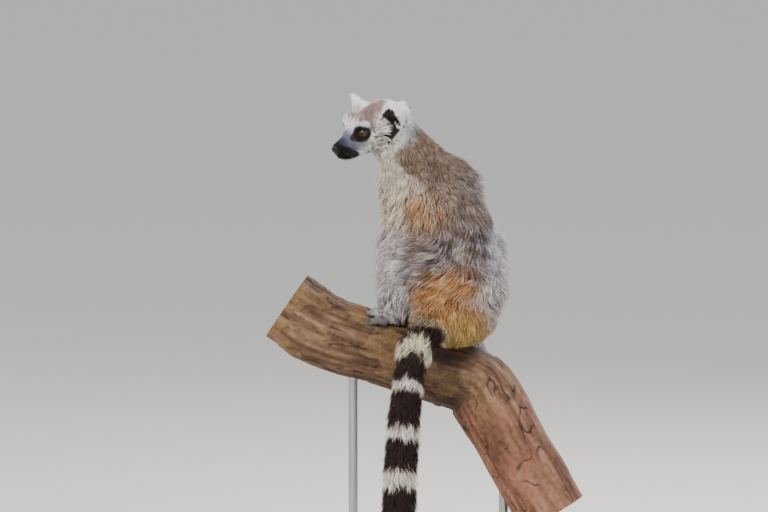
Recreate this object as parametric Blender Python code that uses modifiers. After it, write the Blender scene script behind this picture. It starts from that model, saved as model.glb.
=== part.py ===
"""Adult ring-tailed lemur: a still, life-size model on a cut length of branch, on a plain display stand.

Metres, +Z up. The origin is the centre of the stand base's underside. The body faces +Y and sits with its
back to -Y, +X is the animal's right side, and the head is turned round to its left, towards -X. Every soft
part is built out to the tips of its coat.
"""

import math

import bmesh
import bpy
from mathutils import Matrix, Vector

# Driving dimensions. Places on the animal and the branch are measured from the seat point, which is where the
# rump rests on top of the branch.
SEAT_POINT = Vector((0.008, 0.0, 0.540))
GAP = 0.00035
TOE_GAP_TIMES = 2

BASE_SIZE = (0.360, 0.280, 0.018)
BASE_BEVEL = 0.004
ROD_RADIUS = 0.0055
ROD_PLACES = ((-0.100, 0.002), (0.074, 0.004))
ROD_DEPTH_IN_BRANCH = 0.022
FOOT_RADIUS = 0.018
FOOT_HEIGHT = 0.007
FOOT_RIM_SHARE = 0.6

# The branch: stations along its centre line as (x, y, z, radius), from its left end to its right end.
BRANCH_STATIONS = (
    (-0.176, 0.004, 0.044, 0.043),
    (-0.145, 0.001, 0.023, 0.0425),
    (-0.113, 0.000, 0.008, 0.041),
    (-0.060, 0.000, -0.009, 0.0395),
    (-0.006, 0.000, -0.031, 0.0365),
    (0.040, -0.001, -0.047, 0.0385),
    (0.066, -0.004, -0.082, 0.0415),
    (0.088, -0.008, -0.122, 0.0405),
    (0.112, -0.013, -0.162, 0.0405),
    (0.131, -0.017, -0.194, 0.0400),
)
BRANCH_SIDES = 14
BRANCH_RINGS = 14

HEAD_PLACE = Vector((-0.0737, 0.006, 0.2540))
HEAD_YAW = math.radians(30)
HEAD_PITCH = math.radians(20)
HEAD_ROLL = math.radians(-6)

# Joints of the limbs, from the seat point.
LEFT_SHOULDER = (-0.0520, 0.006, 0.186)
RIGHT_SHOULDER = (0.0315, 0.009, 0.178)
LEFT_ELBOW = (-0.050, 0.058, 0.130)
RIGHT_ELBOW = (0.040, 0.062, 0.126)
LEFT_WRIST = (-0.038, 0.052, 0.036)
RIGHT_WRIST = (0.006, 0.056, 0.026)
LEFT_HIP = (-0.0365, -0.010, 0.062)
RIGHT_HIP = (0.044, -0.010, 0.062)
LEFT_KNEE = (-0.0525, 0.074, 0.112)
RIGHT_KNEE = (0.0580, 0.072, 0.108)
LEFT_ANKLE = (-0.046, 0.022, 0.045)
RIGHT_ANKLE = (0.030, 0.032, 0.016)

EYE_RADIUS = 0.0074
TAIL_RADIUS = 0.0200
TAIL_LENGTH = 0.585
TAIL_PIECES = 5
TAIL_STEPS = 30
TAIL_SIDES = 10

BALL_SIDES = 24
BALL_RINGS = 14
ROD_SIDES = 20
SLOPE_STEP = 0.002

SKIN_GREY = (0.42, 0.39, 0.38, 1.0)
COAT_WHITE = (0.76, 0.74, 0.72, 1.0)
COAT_GREY = (0.44, 0.41, 0.39, 1.0)
COAT_PALE_GREY = (0.58, 0.56, 0.56, 1.0)
COAT_BROWN_GREY = (0.33, 0.27, 0.23, 1.0)
COAT_TAIL = (0.24, 0.20, 0.19, 1.0)
EYE_AMBER = (0.40, 0.14, 0.03, 1.0)
BARK_BROWN = (0.26, 0.15, 0.11, 1.0)
STAND_BASE_BLACK = (0.03, 0.03, 0.032, 1.0)
STAND_STEEL = (0.56, 0.56, 0.57, 1.0)


def seat(x, y, z):
    """A place given from the seat point."""
    return SEAT_POINT + Vector((x, y, z))


# Scene, collections and materials


def clear_scene():
    for obj in list(bpy.data.objects):
        bpy.data.objects.remove(obj, do_unlink=True)


def new_collection(name, hidden=False):
    collection = bpy.data.collections.new(name)
    bpy.context.scene.collection.children.link(collection)
    collection.hide_render = hidden
    return collection


def principled(name, colour, roughness, metallic=0.0):
    material = bpy.data.materials.new(name)
    material.use_nodes = True
    shader = material.node_tree.nodes["Principled BSDF"]
    shader.inputs["Base Color"].default_value = colour
    shader.inputs["Roughness"].default_value = roughness
    shader.inputs["Metallic"].default_value = metallic
    material.diffuse_color = colour
    return material


def settle(obj):
    """Makes the evaluated mesh the object's own, and drops the modifiers."""
    graph = bpy.context.evaluated_depsgraph_get()
    mesh = bpy.data.meshes.new_from_object(obj.evaluated_get(graph))
    obj.modifiers.clear()
    obj.data = mesh


def add_object(name, mesh, material):
    obj = bpy.data.objects.new(name, mesh)
    mesh.materials.append(principled(name, *material))
    MODEL.objects.link(obj)
    return obj


# Soft shapes: balls and tapered links, melted into one closed body


def add_ball(shape, centre, radii, frame=None):
    """A ball with three radii, along the axes of frame where one is given."""
    place = Matrix.Translation(centre) @ Matrix.Diagonal((*radii, 1.0))
    if frame is not None:
        place = frame @ place
    bmesh.ops.create_uvsphere(shape, u_segments=BALL_SIDES, v_segments=BALL_RINGS, radius=1.0, matrix=place)


def add_link(shape, start, start_radius, end, end_radius, frame=None):
    """The hull of two balls: a limb that tapers from one to the other."""
    part = bmesh.new()
    for centre, radius in ((start, start_radius), (end, end_radius)):
        radii = radius if isinstance(radius, tuple) else (radius, radius, radius)
        add_ball(part, centre, radii, frame)
    hull = bmesh.ops.convex_hull(part, input=part.verts)
    unused = {*hull["geom_interior"], *hull["geom_unused"]}
    inside = [item for item in unused if isinstance(item, bmesh.types.BMVert)]
    bmesh.ops.delete(part, geom=inside, context="VERTS")
    mesh = bpy.data.meshes.new("link")
    part.to_mesh(mesh)
    part.free()
    shape.from_mesh(mesh)
    bpy.data.meshes.remove(mesh)


def add_chain(shape, points, radii):
    """Links one after the other through the points."""
    for i in range(len(points) - 1):
        add_link(shape, points[i], radii[i], points[i + 1], radii[i + 1])


def melt(name, shape, material, voxel, triangles, smoothing):
    """One closed soft body from the overlapping shapes, with about the number of triangles asked."""
    mesh = bpy.data.meshes.new(name)
    shape.to_mesh(mesh)
    shape.free()
    obj = add_object(name, mesh, material)
    remesh = obj.modifiers.new("Melt", "REMESH")
    remesh.mode = "VOXEL"
    remesh.voxel_size = voxel
    smooth = obj.modifiers.new("Smooth", "SMOOTH")
    smooth.factor = 0.5
    smooth.iterations = smoothing
    settle(obj)
    obj.data.calc_loop_triangles()
    thin = obj.modifiers.new("Facets", "DECIMATE")
    thin.ratio = min(1.0, triangles / len(obj.data.loop_triangles))
    thin.use_collapse_triangulate = True
    settle(obj)
    shade(obj)
    return obj


def shade(obj, angle=math.radians(50)):
    obj.data.shade_smooth()
    obj.data.set_sharp_from_angle(angle=angle)


def make_grown_cutter(obj):
    """A hidden copy of the object that is larger all round by the gap two touching parts keep.

    Hands and feet have sharp corners between their digits, where a copy grows by less, so theirs grow more.
    """
    cutter = bpy.data.objects.new("cutter_" + obj.name, obj.data.copy())
    swell = cutter.modifiers.new("Gap", "DISPLACE")
    swell.strength = GAP * (TOE_GAP_TIMES if obj.name.startswith(("hand", "foot")) else 1)
    swell.mid_level = 0.0
    CUTTERS.objects.link(cutter)
    settle(cutter)
    cutter.hide_render = True
    cutter.display_type = "WIRE"


def keep_largest_piece(mesh):
    """Drops the crumbs that a cut leaves beside the main body."""
    shape = bmesh.new()
    shape.from_mesh(mesh)
    left = set(shape.verts)
    pieces = []
    while left:
        front = [left.pop()]
        piece = set(front)
        while front:
            for edge in front.pop().link_edges:
                for vert in edge.verts:
                    if vert in left:
                        left.remove(vert)
                        piece.add(vert)
                        front.append(vert)
        pieces.append(piece)
    pieces.sort(key=len)
    crumbs = [vert for piece in pieces[:-1] for vert in piece]
    bmesh.ops.delete(shape, geom=crumbs, context="VERTS")
    shape.to_mesh(mesh)
    shape.free()


def make_room(obj, others):
    """Cuts the object back by the gap wherever the other parts are."""
    for other in others:
        cut = obj.modifiers.new(other.name, "BOOLEAN")
        cut.operation = "DIFFERENCE"
        cut.solver = "EXACT"
        cut.object = bpy.data.objects["cutter_" + other.name]
    settle(obj)
    keep_largest_piece(obj.data)
    shade(obj)


# The perch and its stand


def branch_at(x):
    """Centre and radius of the branch at x from the seat point, on a smooth curve through the stations."""
    stations = BRANCH_STATIONS
    i = 0
    while i < len(stations) - 2 and x > stations[i + 1][0]:
        i += 1
    before = Vector(stations[max(i - 1, 0)])
    start = Vector(stations[i])
    end = Vector(stations[i + 1])
    after = Vector(stations[min(i + 2, len(stations) - 1)])
    span = end.x - start.x
    t = (x - start.x) / span
    start_slope = (end - before) / (end.x - before.x) * span
    end_slope = (after - start) / (after.x - start.x) * span
    point = (
        (2 * t**3 - 3 * t**2 + 1) * start
        + (t**3 - 2 * t**2 + t) * start_slope
        + (3 * t**2 - 2 * t**3) * end
        + (t**3 - t**2) * end_slope
    )
    return seat(x, point.y, point.z), point.w


def branch_way(x):
    """The way the branch runs at x, towards its right end."""
    return (branch_at(x + SLOPE_STEP)[0] - branch_at(x - SLOPE_STEP)[0]).normalized()


def on_branch(x, angle, height):
    """A point above the bark: angle is in degrees from the top of the branch towards +Y."""
    centre, radius = branch_at(x)
    along = branch_way(x)
    up = (Vector((0.0, 0.0, 1.0)) - along * along.z).normalized()
    side = up.cross(along)
    if side.y < 0:
        side.negate()
    turn = math.radians(angle)
    return centre + (up * math.cos(turn) + side * math.sin(turn)) * (radius + height)


def tube_mesh(centres, radii, sides):
    """A closed tube through the centres, from a curve with a bevel and filled caps."""
    curve = bpy.data.curves.new("tube", "CURVE")
    curve.dimensions = "3D"
    curve.bevel_depth = 1.0
    curve.bevel_resolution = sides // 2 - 2
    curve.use_fill_caps = True
    spline = curve.splines.new("POLY")
    spline.points.add(len(centres) - 1)
    for point, centre, radius in zip(spline.points, centres, radii):
        point.co = (*centre, 1.0)
        point.radius = radius
    tube = bpy.data.objects.new("tube", curve)
    MODEL.objects.link(tube)
    graph = bpy.context.evaluated_depsgraph_get()
    mesh = bpy.data.meshes.new_from_object(tube.evaluated_get(graph))
    bpy.data.objects.remove(tube)
    shape = bmesh.new()
    shape.from_mesh(mesh)
    bmesh.ops.remove_doubles(shape, verts=shape.verts, dist=0.00001)
    shape.to_mesh(mesh)
    shape.free()
    mesh.materials.clear()
    return mesh


def build_branch():
    first = BRANCH_STATIONS[0][0]
    last = BRANCH_STATIONS[-1][0]
    places = [branch_at(first + (last - first) * i / (BRANCH_RINGS - 1)) for i in range(BRANCH_RINGS)]
    mesh = tube_mesh([centre for centre, _ in places], [radius for _, radius in places], BRANCH_SIDES)
    mesh.name = "perch_branch"
    branch = add_object("perch_branch", mesh, (BARK_BROWN, 0.8))
    shade(branch)
    return branch


def build_stand(branch):
    """The flat base, and two rods that stand on it and go up into holes drilled in the branch."""
    bpy.ops.mesh.primitive_cube_add(size=1.0, location=(0.0, 0.0, BASE_SIZE[2] / 2))
    base = bpy.context.object
    base.name = "stand_base"
    base.scale = BASE_SIZE
    bpy.ops.object.transform_apply(location=True, rotation=False, scale=True)
    base.data.materials.append(principled("stand_base", STAND_BASE_BLACK, 0.45))
    bevel = base.modifiers.new("Edges", "BEVEL")
    bevel.width = BASE_BEVEL
    bevel.segments = 2
    for collection in base.users_collection:
        collection.objects.unlink(base)
    MODEL.objects.link(base)

    for number, (x, y) in enumerate(ROD_PLACES, 1):
        middle, radius = branch_at(x)
        top = middle.z - radius / abs(branch_way(x).x) + ROD_DEPTH_IN_BRANCH
        bottom = BASE_SIZE[2] + GAP
        profile = (
            (0.0, top),
            (ROD_RADIUS, top),
            (ROD_RADIUS, bottom + FOOT_HEIGHT),
            (FOOT_RADIUS, bottom + FOOT_HEIGHT * FOOT_RIM_SHARE),
            (FOOT_RADIUS, bottom),
            (0.0, bottom),
        )
        name = f"stand_rod_{number}"
        rod = add_object(name, turned_profile(name, profile), (STAND_STEEL, 0.3, 1.0))
        rod.location = (SEAT_POINT.x + x, y, 0.0)
        screw_round(rod)
        hole_radius = ROD_RADIUS + GAP
        below = middle.z - 3 * radius
        hole_profile = ((0.0, top + GAP), (hole_radius, top + GAP), (hole_radius, below), (0.0, below))
        hole = bpy.data.objects.new(f"hole_{number}", turned_profile(f"hole_{number}", hole_profile))
        hole.location = rod.location
        hole.hide_render = True
        hole.display_type = "WIRE"
        CUTTERS.objects.link(hole)
        screw_round(hole)
        drill = branch.modifiers.new(hole.name, "BOOLEAN")
        drill.operation = "DIFFERENCE"
        drill.object = hole
    settle(branch)
    shade(branch)


def turned_profile(name, profile):
    """The half outline of a turned piece, as (radius, height) from its top down."""
    shape = bmesh.new()
    verts = [shape.verts.new((radius, 0.0, height)) for radius, height in profile]
    for i in range(len(verts) - 1):
        shape.edges.new((verts[i], verts[i + 1]))
    mesh = bpy.data.meshes.new(name)
    shape.to_mesh(mesh)
    shape.free()
    return mesh


def screw_round(obj):
    screw = obj.modifiers.new("Turn", "SCREW")
    screw.steps = ROD_SIDES
    screw.render_steps = ROD_SIDES
    screw.use_merge_vertices = True
    screw.merge_threshold = 0.0001
    shade(obj)


# The animal


def head_frame():
    """Head axes: X forward to the nose, Y to the animal's left, which faces -Y in the world, and Z up."""
    facing = Matrix(((-1.0, 0.0, 0.0), (0.0, -1.0, 0.0), (0.0, 0.0, 1.0))).to_4x4()
    yaw = Matrix.Rotation(HEAD_YAW, 4, "Z")
    pitch = Matrix.Rotation(HEAD_PITCH, 4, "Y")
    roll = Matrix.Rotation(HEAD_ROLL, 4, "X")
    return Matrix.Translation(SEAT_POINT + HEAD_PLACE) @ yaw @ facing @ pitch @ roll


def build_head(frame):
    head = bmesh.new()
    cranium = ((-0.0080, 0.0, 0.0030), (0.0330, 0.0275, 0.0260))
    face = ((0.0260, 0.0, -0.0060), (0.0190, 0.0175, 0.0190))
    for centre, radii in (cranium, face):
        add_ball(head, centre, radii, frame)
    forehead = ((-0.003, 0.0, 0.009), (0.020, 0.022, 0.0195), (0.020, 0.0, 0.0085), (0.012, 0.018, 0.0125))
    muzzle = ((0.033, 0.0, -0.0100), (0.012, 0.0135, 0.0155), (0.055, 0.0, -0.0090), (0.0075, 0.0072, 0.0080))
    nose = ((0.052, 0.0, -0.0062), (0.0055, 0.0055, 0.0055), (0.0608, 0.0, -0.0062), (0.0038, 0.0048, 0.0040))
    jaw = ((0.020, 0.0, -0.0175), (0.012, 0.0155, 0.0110), (0.0500, 0.0, -0.0175), (0.0072, 0.0062, 0.0060))
    for link in (forehead, muzzle, nose, jaw):
        add_link(head, *link, frame)
    for side in (-1, 1):
        add_ball(head, (0.009, side * 0.0145, -0.011), (0.020, 0.0160, 0.0170), frame)
        add_ball(head, (-0.008, side * 0.0190, -0.010), (0.018, 0.0130, 0.0190), frame)
        add_ball(head, (0.022, side * 0.0110, 0.0110), (0.0125, 0.0105, 0.0095), frame)
    return melt("head", head, (COAT_WHITE, 0.85), 0.0014, 900, 14)


def eye_place(side):
    return Vector((0.0240, side * 0.0133, 0.0026))


def build_eye(name, frame, side):
    mesh = bpy.data.meshes.new(name)
    shape = bmesh.new()
    place = frame @ Matrix.Translation(eye_place(side))
    bmesh.ops.create_uvsphere(shape, u_segments=12, v_segments=8, radius=EYE_RADIUS, matrix=place)
    shape.to_mesh(mesh)
    shape.free()
    eye = add_object(name, mesh, (EYE_AMBER, 0.08))
    shade(eye)
    return eye


def ear_frame(frame, side):
    """Axes of one ear: X out of its hollow, Y across it, Z from its root to its tip."""
    root = Vector((-0.0045, side * 0.0235, -0.0030))
    tip = Vector((-0.0015, side * 0.0430, 0.0325))
    up = (tip - root).normalized()
    out = Vector((0.65, side * 0.65, -0.25))
    out = (out - up * out.dot(up)).normalized()
    across = up.cross(out)
    axes = Matrix((out, across, up)).transposed().to_4x4()
    return frame @ Matrix.Translation(root) @ axes, (tip - root).length


def build_ear(name, frame, side):
    """A thin leaf, hollow on its front and outer face, that stands up and out from the side of the crown."""
    place, length = ear_frame(frame, side)
    leaf = bmesh.new()
    root_ball = ((0.0, 0.0, 0.0), (0.0080, 0.0185, 0.0150))
    middle_ball = ((-0.001, 0.0, length * 0.45), (0.0065, 0.0170, 0.0125))
    tip_ball = ((-0.001, 0.0, length * 0.97), (0.0022, 0.0035, 0.0035))
    add_link(leaf, *root_ball, *middle_ball, place)
    add_link(leaf, *middle_ball, *tip_ball, place)
    ear = melt(name, leaf, (COAT_WHITE, 0.85), 0.0012, 200, 3)
    hollow = bmesh.new()
    low_ball = ((0.0080, 0.0, 0.000), (0.0085, 0.0140, 0.0120))
    high_ball = ((0.0045, 0.0, length * 0.50), (0.0058, 0.0120, 0.0110))
    end_ball = ((0.0025, 0.0, length * 0.86), (0.0020, 0.0025, 0.0030))
    add_link(hollow, *low_ball, *high_ball, place)
    add_link(hollow, *high_ball, *end_ball, place)
    scoop = melt("cutter_hollow_" + name, hollow, (COAT_WHITE, 0.85), 0.0012, 130, 3)
    MODEL.objects.unlink(scoop)
    CUTTERS.objects.link(scoop)
    scoop.hide_render = True
    scoop.display_type = "WIRE"
    cup = ear.modifiers.new("Hollow", "BOOLEAN")
    cup.operation = "DIFFERENCE"
    cup.object = scoop
    settle(ear)
    keep_largest_piece(ear.data)
    shade(ear)
    return ear


def build_neck():
    neck = bmesh.new()
    low_end = (seat(-0.015, 0.005, 0.194), (0.043, 0.036, 0.034))
    high_end = (seat(-0.055, 0.006, 0.238), (0.029, 0.028, 0.027))
    add_link(neck, *low_end, *high_end)
    return melt("neck", neck, (COAT_BROWN_GREY, 0.9), 0.003, 110, 6)


def build_trunk():
    trunk = bmesh.new()
    rump = ((0.013, -0.015, 0.041), (0.060, 0.047, 0.043))
    loin = ((0.007, -0.009, 0.086), (0.064, 0.053, 0.062))
    back = ((0.000, -0.005, 0.130), (0.063, 0.051, 0.060))
    chest = ((-0.008, 0.005, 0.170), (0.057, 0.045, 0.045))
    shoulders = ((-0.012, 0.007, 0.192), (0.054, 0.039, 0.033))
    for centre, radii in (rump, loin, back, chest, shoulders):
        add_ball(trunk, seat(*centre), radii)
    return melt("trunk", trunk, (COAT_GREY, 0.9), 0.004, 380, 14)


def build_arm(side_name, shoulder, elbow, wrist):
    upper = bmesh.new()
    add_link(upper, seat(*shoulder), 0.0230, seat(*elbow), 0.0175)
    upper_arm = melt("upper_arm_" + side_name, upper, (COAT_GREY, 0.9), 0.003, 100, 4)
    lower = bmesh.new()
    add_link(lower, seat(*elbow), 0.0168, seat(*wrist), 0.0100)
    forearm = melt("forearm_" + side_name, lower, (COAT_PALE_GREY, 0.9), 0.0025, 90, 4)
    return upper_arm, forearm


def build_hand(side_name, side, wrist, x):
    """A palm on top of the branch, with four fingers over its far side and the thumb apart from them."""
    hand = bmesh.new()
    palm = on_branch(x, 46, 0.008)
    add_link(hand, seat(*wrist), 0.0088, palm, (0.0120, 0.0100, 0.0075))
    for finger in range(4):
        spread = side * (-0.0115 + 0.0082 * finger)
        reach = (94, 104, 108, 100)[finger]
        path = [on_branch(x + spread * 0.7, 52, 0.0065)]
        path.append(on_branch(x + spread * 1.1, (52 + reach) / 2, 0.0050))
        path.append(on_branch(x + spread * 1.25, reach, 0.0042))
        add_chain(hand, path, (0.0044, 0.0037, 0.0034))
    thumb = [on_branch(x - side * 0.006, 42, 0.006), on_branch(x - side * 0.0135, 64, 0.0046)]
    add_chain(hand, thumb, (0.0052, 0.0040))
    return melt("hand_" + side_name, hand, (SKIN_GREY, 0.8), 0.0014, 260, 2)


def build_leg(side_name, hip, knee, ankle, hip_radius):
    upper = bmesh.new()
    add_link(upper, seat(*hip), hip_radius, seat(*knee), 0.0225)
    thigh = melt("thigh_" + side_name, upper, (COAT_PALE_GREY, 0.9), 0.003, 160, 6)
    lower = bmesh.new()
    add_link(lower, seat(*knee), 0.0205, seat(*ankle), 0.0110)
    shin = melt("shin_" + side_name, lower, (COAT_PALE_GREY, 0.9), 0.0025, 100, 4)
    return thigh, shin


def build_foot(side_name, ankle, heel, ball, toes, big_toe):
    """A long sole from heel to ball along the bark, four spread toes and the big toe on the other side.

    Heel, ball and toe tips are given as (x, angle) on the branch.
    """
    foot = bmesh.new()
    heel_point = on_branch(*heel, 0.0085)
    ball_point = on_branch(*ball, 0.0072)
    add_link(foot, seat(*ankle), 0.0105, heel_point, 0.0090)
    add_link(foot, heel_point, 0.0090, ball_point, (0.0105, 0.0105, 0.0070))
    for tip in toes:
        root = (ball[0] + (tip[0] - ball[0]) * 0.25, ball[1] + (tip[1] - ball[1]) * 0.55)
        middle = ((root[0] + tip[0]) / 2, (root[1] + tip[1]) / 2)
        path = [on_branch(*root, 0.0060), on_branch(*middle, 0.0070), on_branch(*tip, 0.0042)]
        add_chain(foot, path, (0.0056, 0.0048, 0.0042))
    root = ((heel[0] + ball[0] * 2) / 3, (heel[1] + ball[1] * 2) / 3)
    middle = ((root[0] + big_toe[0]) / 2, (root[1] + big_toe[1]) / 2)
    path = [on_branch(*root, 0.0070), on_branch(*middle, 0.0062), on_branch(*big_toe, 0.0050)]
    add_chain(foot, path, (0.0072, 0.0062, 0.0052))
    return melt("foot_" + side_name, foot, (COAT_PALE_GREY, 0.85), 0.0014, 370, 2)


def tail_point(s):
    """Centre line of the tail, s metres from its root: out over the branch, straight down, then a hook."""
    over = 0.062
    hang = 0.385
    hook_radius = 0.075
    root = Vector((-0.014, -0.043, 0.032))
    turn_over = Vector((-0.0345, -0.0605, -0.020))
    hang_end = Vector((-0.0490, -0.0640, -0.020 - hang))
    if s < over:
        t = s / over
        bulge = Vector((0.0, -0.008, 0.007)) * (4 * t * (1 - t))
        point = root.lerp(turn_over, t) + bulge
    elif s < over + hang:
        t = (s - over) / hang
        point = turn_over.lerp(hang_end, t)
        point.x = hang_end.x + (turn_over.x - hang_end.x) * (1 - t) ** 4
    else:
        angle = (s - over - hang) / hook_radius
        curl = Vector((-(1 - math.cos(angle)), -0.15 * (1 - math.cos(angle)), -math.sin(angle)))
        point = hang_end + curl * hook_radius
    return seat(*point)


def tail_radius(s):
    """The tail is slim at its root, fullest at two thirds, and rounds off at its tip."""
    share = s / TAIL_LENGTH
    full = TAIL_RADIUS * (0.86 + 0.22 * math.sin(math.pi * min(1.0, share * 0.80)))
    end = TAIL_LENGTH - s
    rounding = 0.032
    if end < rounding:
        full *= math.sqrt(max(0.0, 1 - (1 - end / rounding) ** 2)) * 0.85 + 0.15 * end / rounding
    return max(full, 0.0015)


def cut_across(shape, s, keep_tip):
    """Cuts the tail square at s metres from its root, drops one side, and closes the cut."""
    geometry = [*shape.verts, *shape.edges, *shape.faces]
    along = (tail_point(s + 0.001) - tail_point(s - 0.001)).normalized()
    cut = bmesh.ops.bisect_plane(
        shape,
        geom=geometry,
        plane_co=tail_point(s),
        plane_no=along,
        clear_inner=keep_tip,
        clear_outer=not keep_tip,
    )
    rim = [item for item in cut["geom_cut"] if isinstance(item, bmesh.types.BMEdge)]
    bmesh.ops.holes_fill(shape, edges=rim, sides=0)


def build_tail():
    """One tapering tube, parted into equal lengths by thin cuts."""
    places = [TAIL_LENGTH * i / TAIL_STEPS for i in range(TAIL_STEPS + 1)]
    whole = tube_mesh([tail_point(s) for s in places], [tail_radius(s) for s in places], TAIL_SIDES)
    pieces = []
    length = TAIL_LENGTH / TAIL_PIECES
    for number in range(TAIL_PIECES):
        shape = bmesh.new()
        shape.from_mesh(whole)
        if number > 0:
            cut_across(shape, number * length + GAP / 2, True)
        if number < TAIL_PIECES - 1:
            cut_across(shape, (number + 1) * length - GAP / 2, False)
        mesh = bpy.data.meshes.new(f"tail_{number + 1}")
        shape.to_mesh(mesh)
        shape.free()
        piece = add_object(f"tail_{number + 1}", mesh, (COAT_TAIL, 0.9))
        shade(piece)
        pieces.append(piece)
    bpy.data.meshes.remove(whole)
    return pieces


clear_scene()
MODEL = new_collection("ring_tailed_lemur")
CUTTERS = new_collection("cutters", hidden=True)

branch = build_branch()
build_stand(branch)

frame = head_frame()
head = build_head(frame)
eyes = [build_eye("eye_left", frame, 1), build_eye("eye_right", frame, -1)]
ears = [build_ear("ear_left", frame, 1), build_ear("ear_right", frame, -1)]
neck = build_neck()
trunk = build_trunk()

upper_arm_left, forearm_left = build_arm("left", LEFT_SHOULDER, LEFT_ELBOW, LEFT_WRIST)
upper_arm_right, forearm_right = build_arm("right", RIGHT_SHOULDER, RIGHT_ELBOW, RIGHT_WRIST)
hand_left = build_hand("left", -1, LEFT_WRIST, -0.036)
hand_right = build_hand("right", 1, RIGHT_WRIST, 0.000)

thigh_left, shin_left = build_leg("left", LEFT_HIP, LEFT_KNEE, LEFT_ANKLE, 0.0365)
thigh_right, shin_right = build_leg("right", RIGHT_HIP, RIGHT_KNEE, RIGHT_ANKLE, 0.0375)
foot_left = build_foot(
    "left",
    ankle=LEFT_ANKLE,
    heel=(-0.041, 12),
    ball=(-0.070, -28),
    toes=((-0.091, -47), (-0.093, -28), (-0.086, -8), (-0.077, 12)),
    big_toe=(-0.068, 40),
)
foot_right = build_foot(
    "right",
    ankle=RIGHT_ANKLE,
    heel=(0.026, 14),
    ball=(0.035, 58),
    toes=((0.049, 88), (0.042, 100), (0.035, 104), (0.028, 96)),
    big_toe=(0.051, 54),
)
tail = build_tail()

for obj in list(MODEL.objects):
    if not obj.name.startswith("stand_"):
        make_grown_cutter(obj)

make_room(head, eyes)
for ear in ears:
    make_room(ear, [head])
make_room(neck, [head, *ears])
make_room(hand_left, [branch])
make_room(hand_right, [branch])
make_room(foot_left, [branch])
make_room(foot_right, [branch, hand_right])
make_room(forearm_left, [hand_left, branch])
make_room(forearm_right, [hand_right, branch])
make_room(upper_arm_left, [forearm_left])
make_room(upper_arm_right, [forearm_right])
make_room(shin_left, [foot_left, branch, forearm_left, upper_arm_left])
make_room(shin_right, [foot_right, branch, forearm_right, upper_arm_right])
make_room(thigh_left, [shin_left, foot_left, upper_arm_left, forearm_left, branch])
make_room(thigh_right, [shin_right, foot_right, upper_arm_right, forearm_right, branch])
make_room(neck, [upper_arm_left, upper_arm_right])
arms = [upper_arm_left, upper_arm_right, forearm_left, forearm_right, hand_left, hand_right]
legs = [thigh_left, thigh_right, shin_left, shin_right, foot_left, foot_right]
make_room(trunk, [neck, head, branch, *arms, *legs])
make_room(tail[0], [trunk, branch])
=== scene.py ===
import itertools
import math

import bmesh
import bpy
import numpy as np
from mathutils import Matrix, Vector
from mathutils.bvhtree import BVHTree
from mathutils.kdtree import KDTree


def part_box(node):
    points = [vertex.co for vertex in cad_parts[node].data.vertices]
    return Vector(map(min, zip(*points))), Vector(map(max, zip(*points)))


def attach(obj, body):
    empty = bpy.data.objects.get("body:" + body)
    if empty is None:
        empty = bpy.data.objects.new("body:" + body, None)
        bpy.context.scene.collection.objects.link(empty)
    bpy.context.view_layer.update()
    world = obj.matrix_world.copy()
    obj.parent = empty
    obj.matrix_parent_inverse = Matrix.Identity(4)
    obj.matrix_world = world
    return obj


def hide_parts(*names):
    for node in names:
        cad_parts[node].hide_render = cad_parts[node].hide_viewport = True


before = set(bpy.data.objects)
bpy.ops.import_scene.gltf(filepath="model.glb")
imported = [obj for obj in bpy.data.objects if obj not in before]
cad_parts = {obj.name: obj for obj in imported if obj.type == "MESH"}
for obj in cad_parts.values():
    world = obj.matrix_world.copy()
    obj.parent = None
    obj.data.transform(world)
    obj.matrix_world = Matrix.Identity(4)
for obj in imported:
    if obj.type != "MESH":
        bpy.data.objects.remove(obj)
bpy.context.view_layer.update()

# Studio. A wide pale floor, one big soft lamp high on the left, a weaker one low on the right, one behind for
# the edges of the coat, and a pale room all round. The camera looks slightly down from five metres away.

SEAT = Vector((0.008, 0.0, 0.540))  # where the rump rests on the branch: the animal is measured from here
FLOOR_SIDE = 160.0
CAMERA_AWAY = 5.0
CAMERA_TILT = math.radians(6.5)
CAMERA_AIM = SEAT + Vector((-0.0644, 0.0, 0.10235))
FRAME_WIDTH = 0.8832  # metres across the frame at the animal


def linear(code):
    """An sRGB hex colour as linear red, green, blue and an alpha of 1."""
    parts = [int(code[i : i + 2], 16) / 255 for i in (1, 3, 5)]
    return (*(p / 12.92 if p <= 0.04045 else ((p + 0.055) / 1.055) ** 2.4 for p in parts), 1.0)


def node(tree, kind, inputs=None, stops=(), **settings):
    """Adds a node of a kind, named without its ShaderNode.

    An input is a value, or another node's socket to link; stops are a ramp's (place, colour).
    """
    made = tree.nodes.new("ShaderNode" + kind)
    for name, value in settings.items():
        setattr(made, name, value)
    for place, colour in stops[2:]:
        made.color_ramp.elements.new(place)
    for element, (place, colour) in zip(made.color_ramp.elements if stops else (), stops):
        element.position = place
        element.color = linear(colour)
    for name, value in (inputs or {}).items():
        if isinstance(value, bpy.types.NodeSocket):
            tree.links.new(value, made.inputs[name])
        else:
            made.inputs[name].default_value = value
    return made


def new_material(name):
    """An empty material: its node tree, and the material itself."""
    material = bpy.data.materials.new(name)
    material.use_nodes = True
    material.node_tree.nodes.clear()
    return material.node_tree, material


def deselect_all():
    for obj in bpy.context.selected_objects:
        obj.select_set(False)


deselect_all()
bpy.ops.mesh.primitive_plane_add(size=FLOOR_SIDE, location=(0, 0, 0))
floor = bpy.context.object
floor.name = "floor"

# Matt pale floor paint: an even tone with no gloss, so nothing draws the eye from the model.
tree, floor_paint = new_material("matt_floor_paint")
shader = node(tree, "BsdfPrincipled", {"Base Color": linear("#D9D6D0"), "Roughness": 0.9})
node(tree, "OutputMaterial", {"Surface": shader.outputs["BSDF"]})
floor.data.materials.append(floor_paint)

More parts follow.
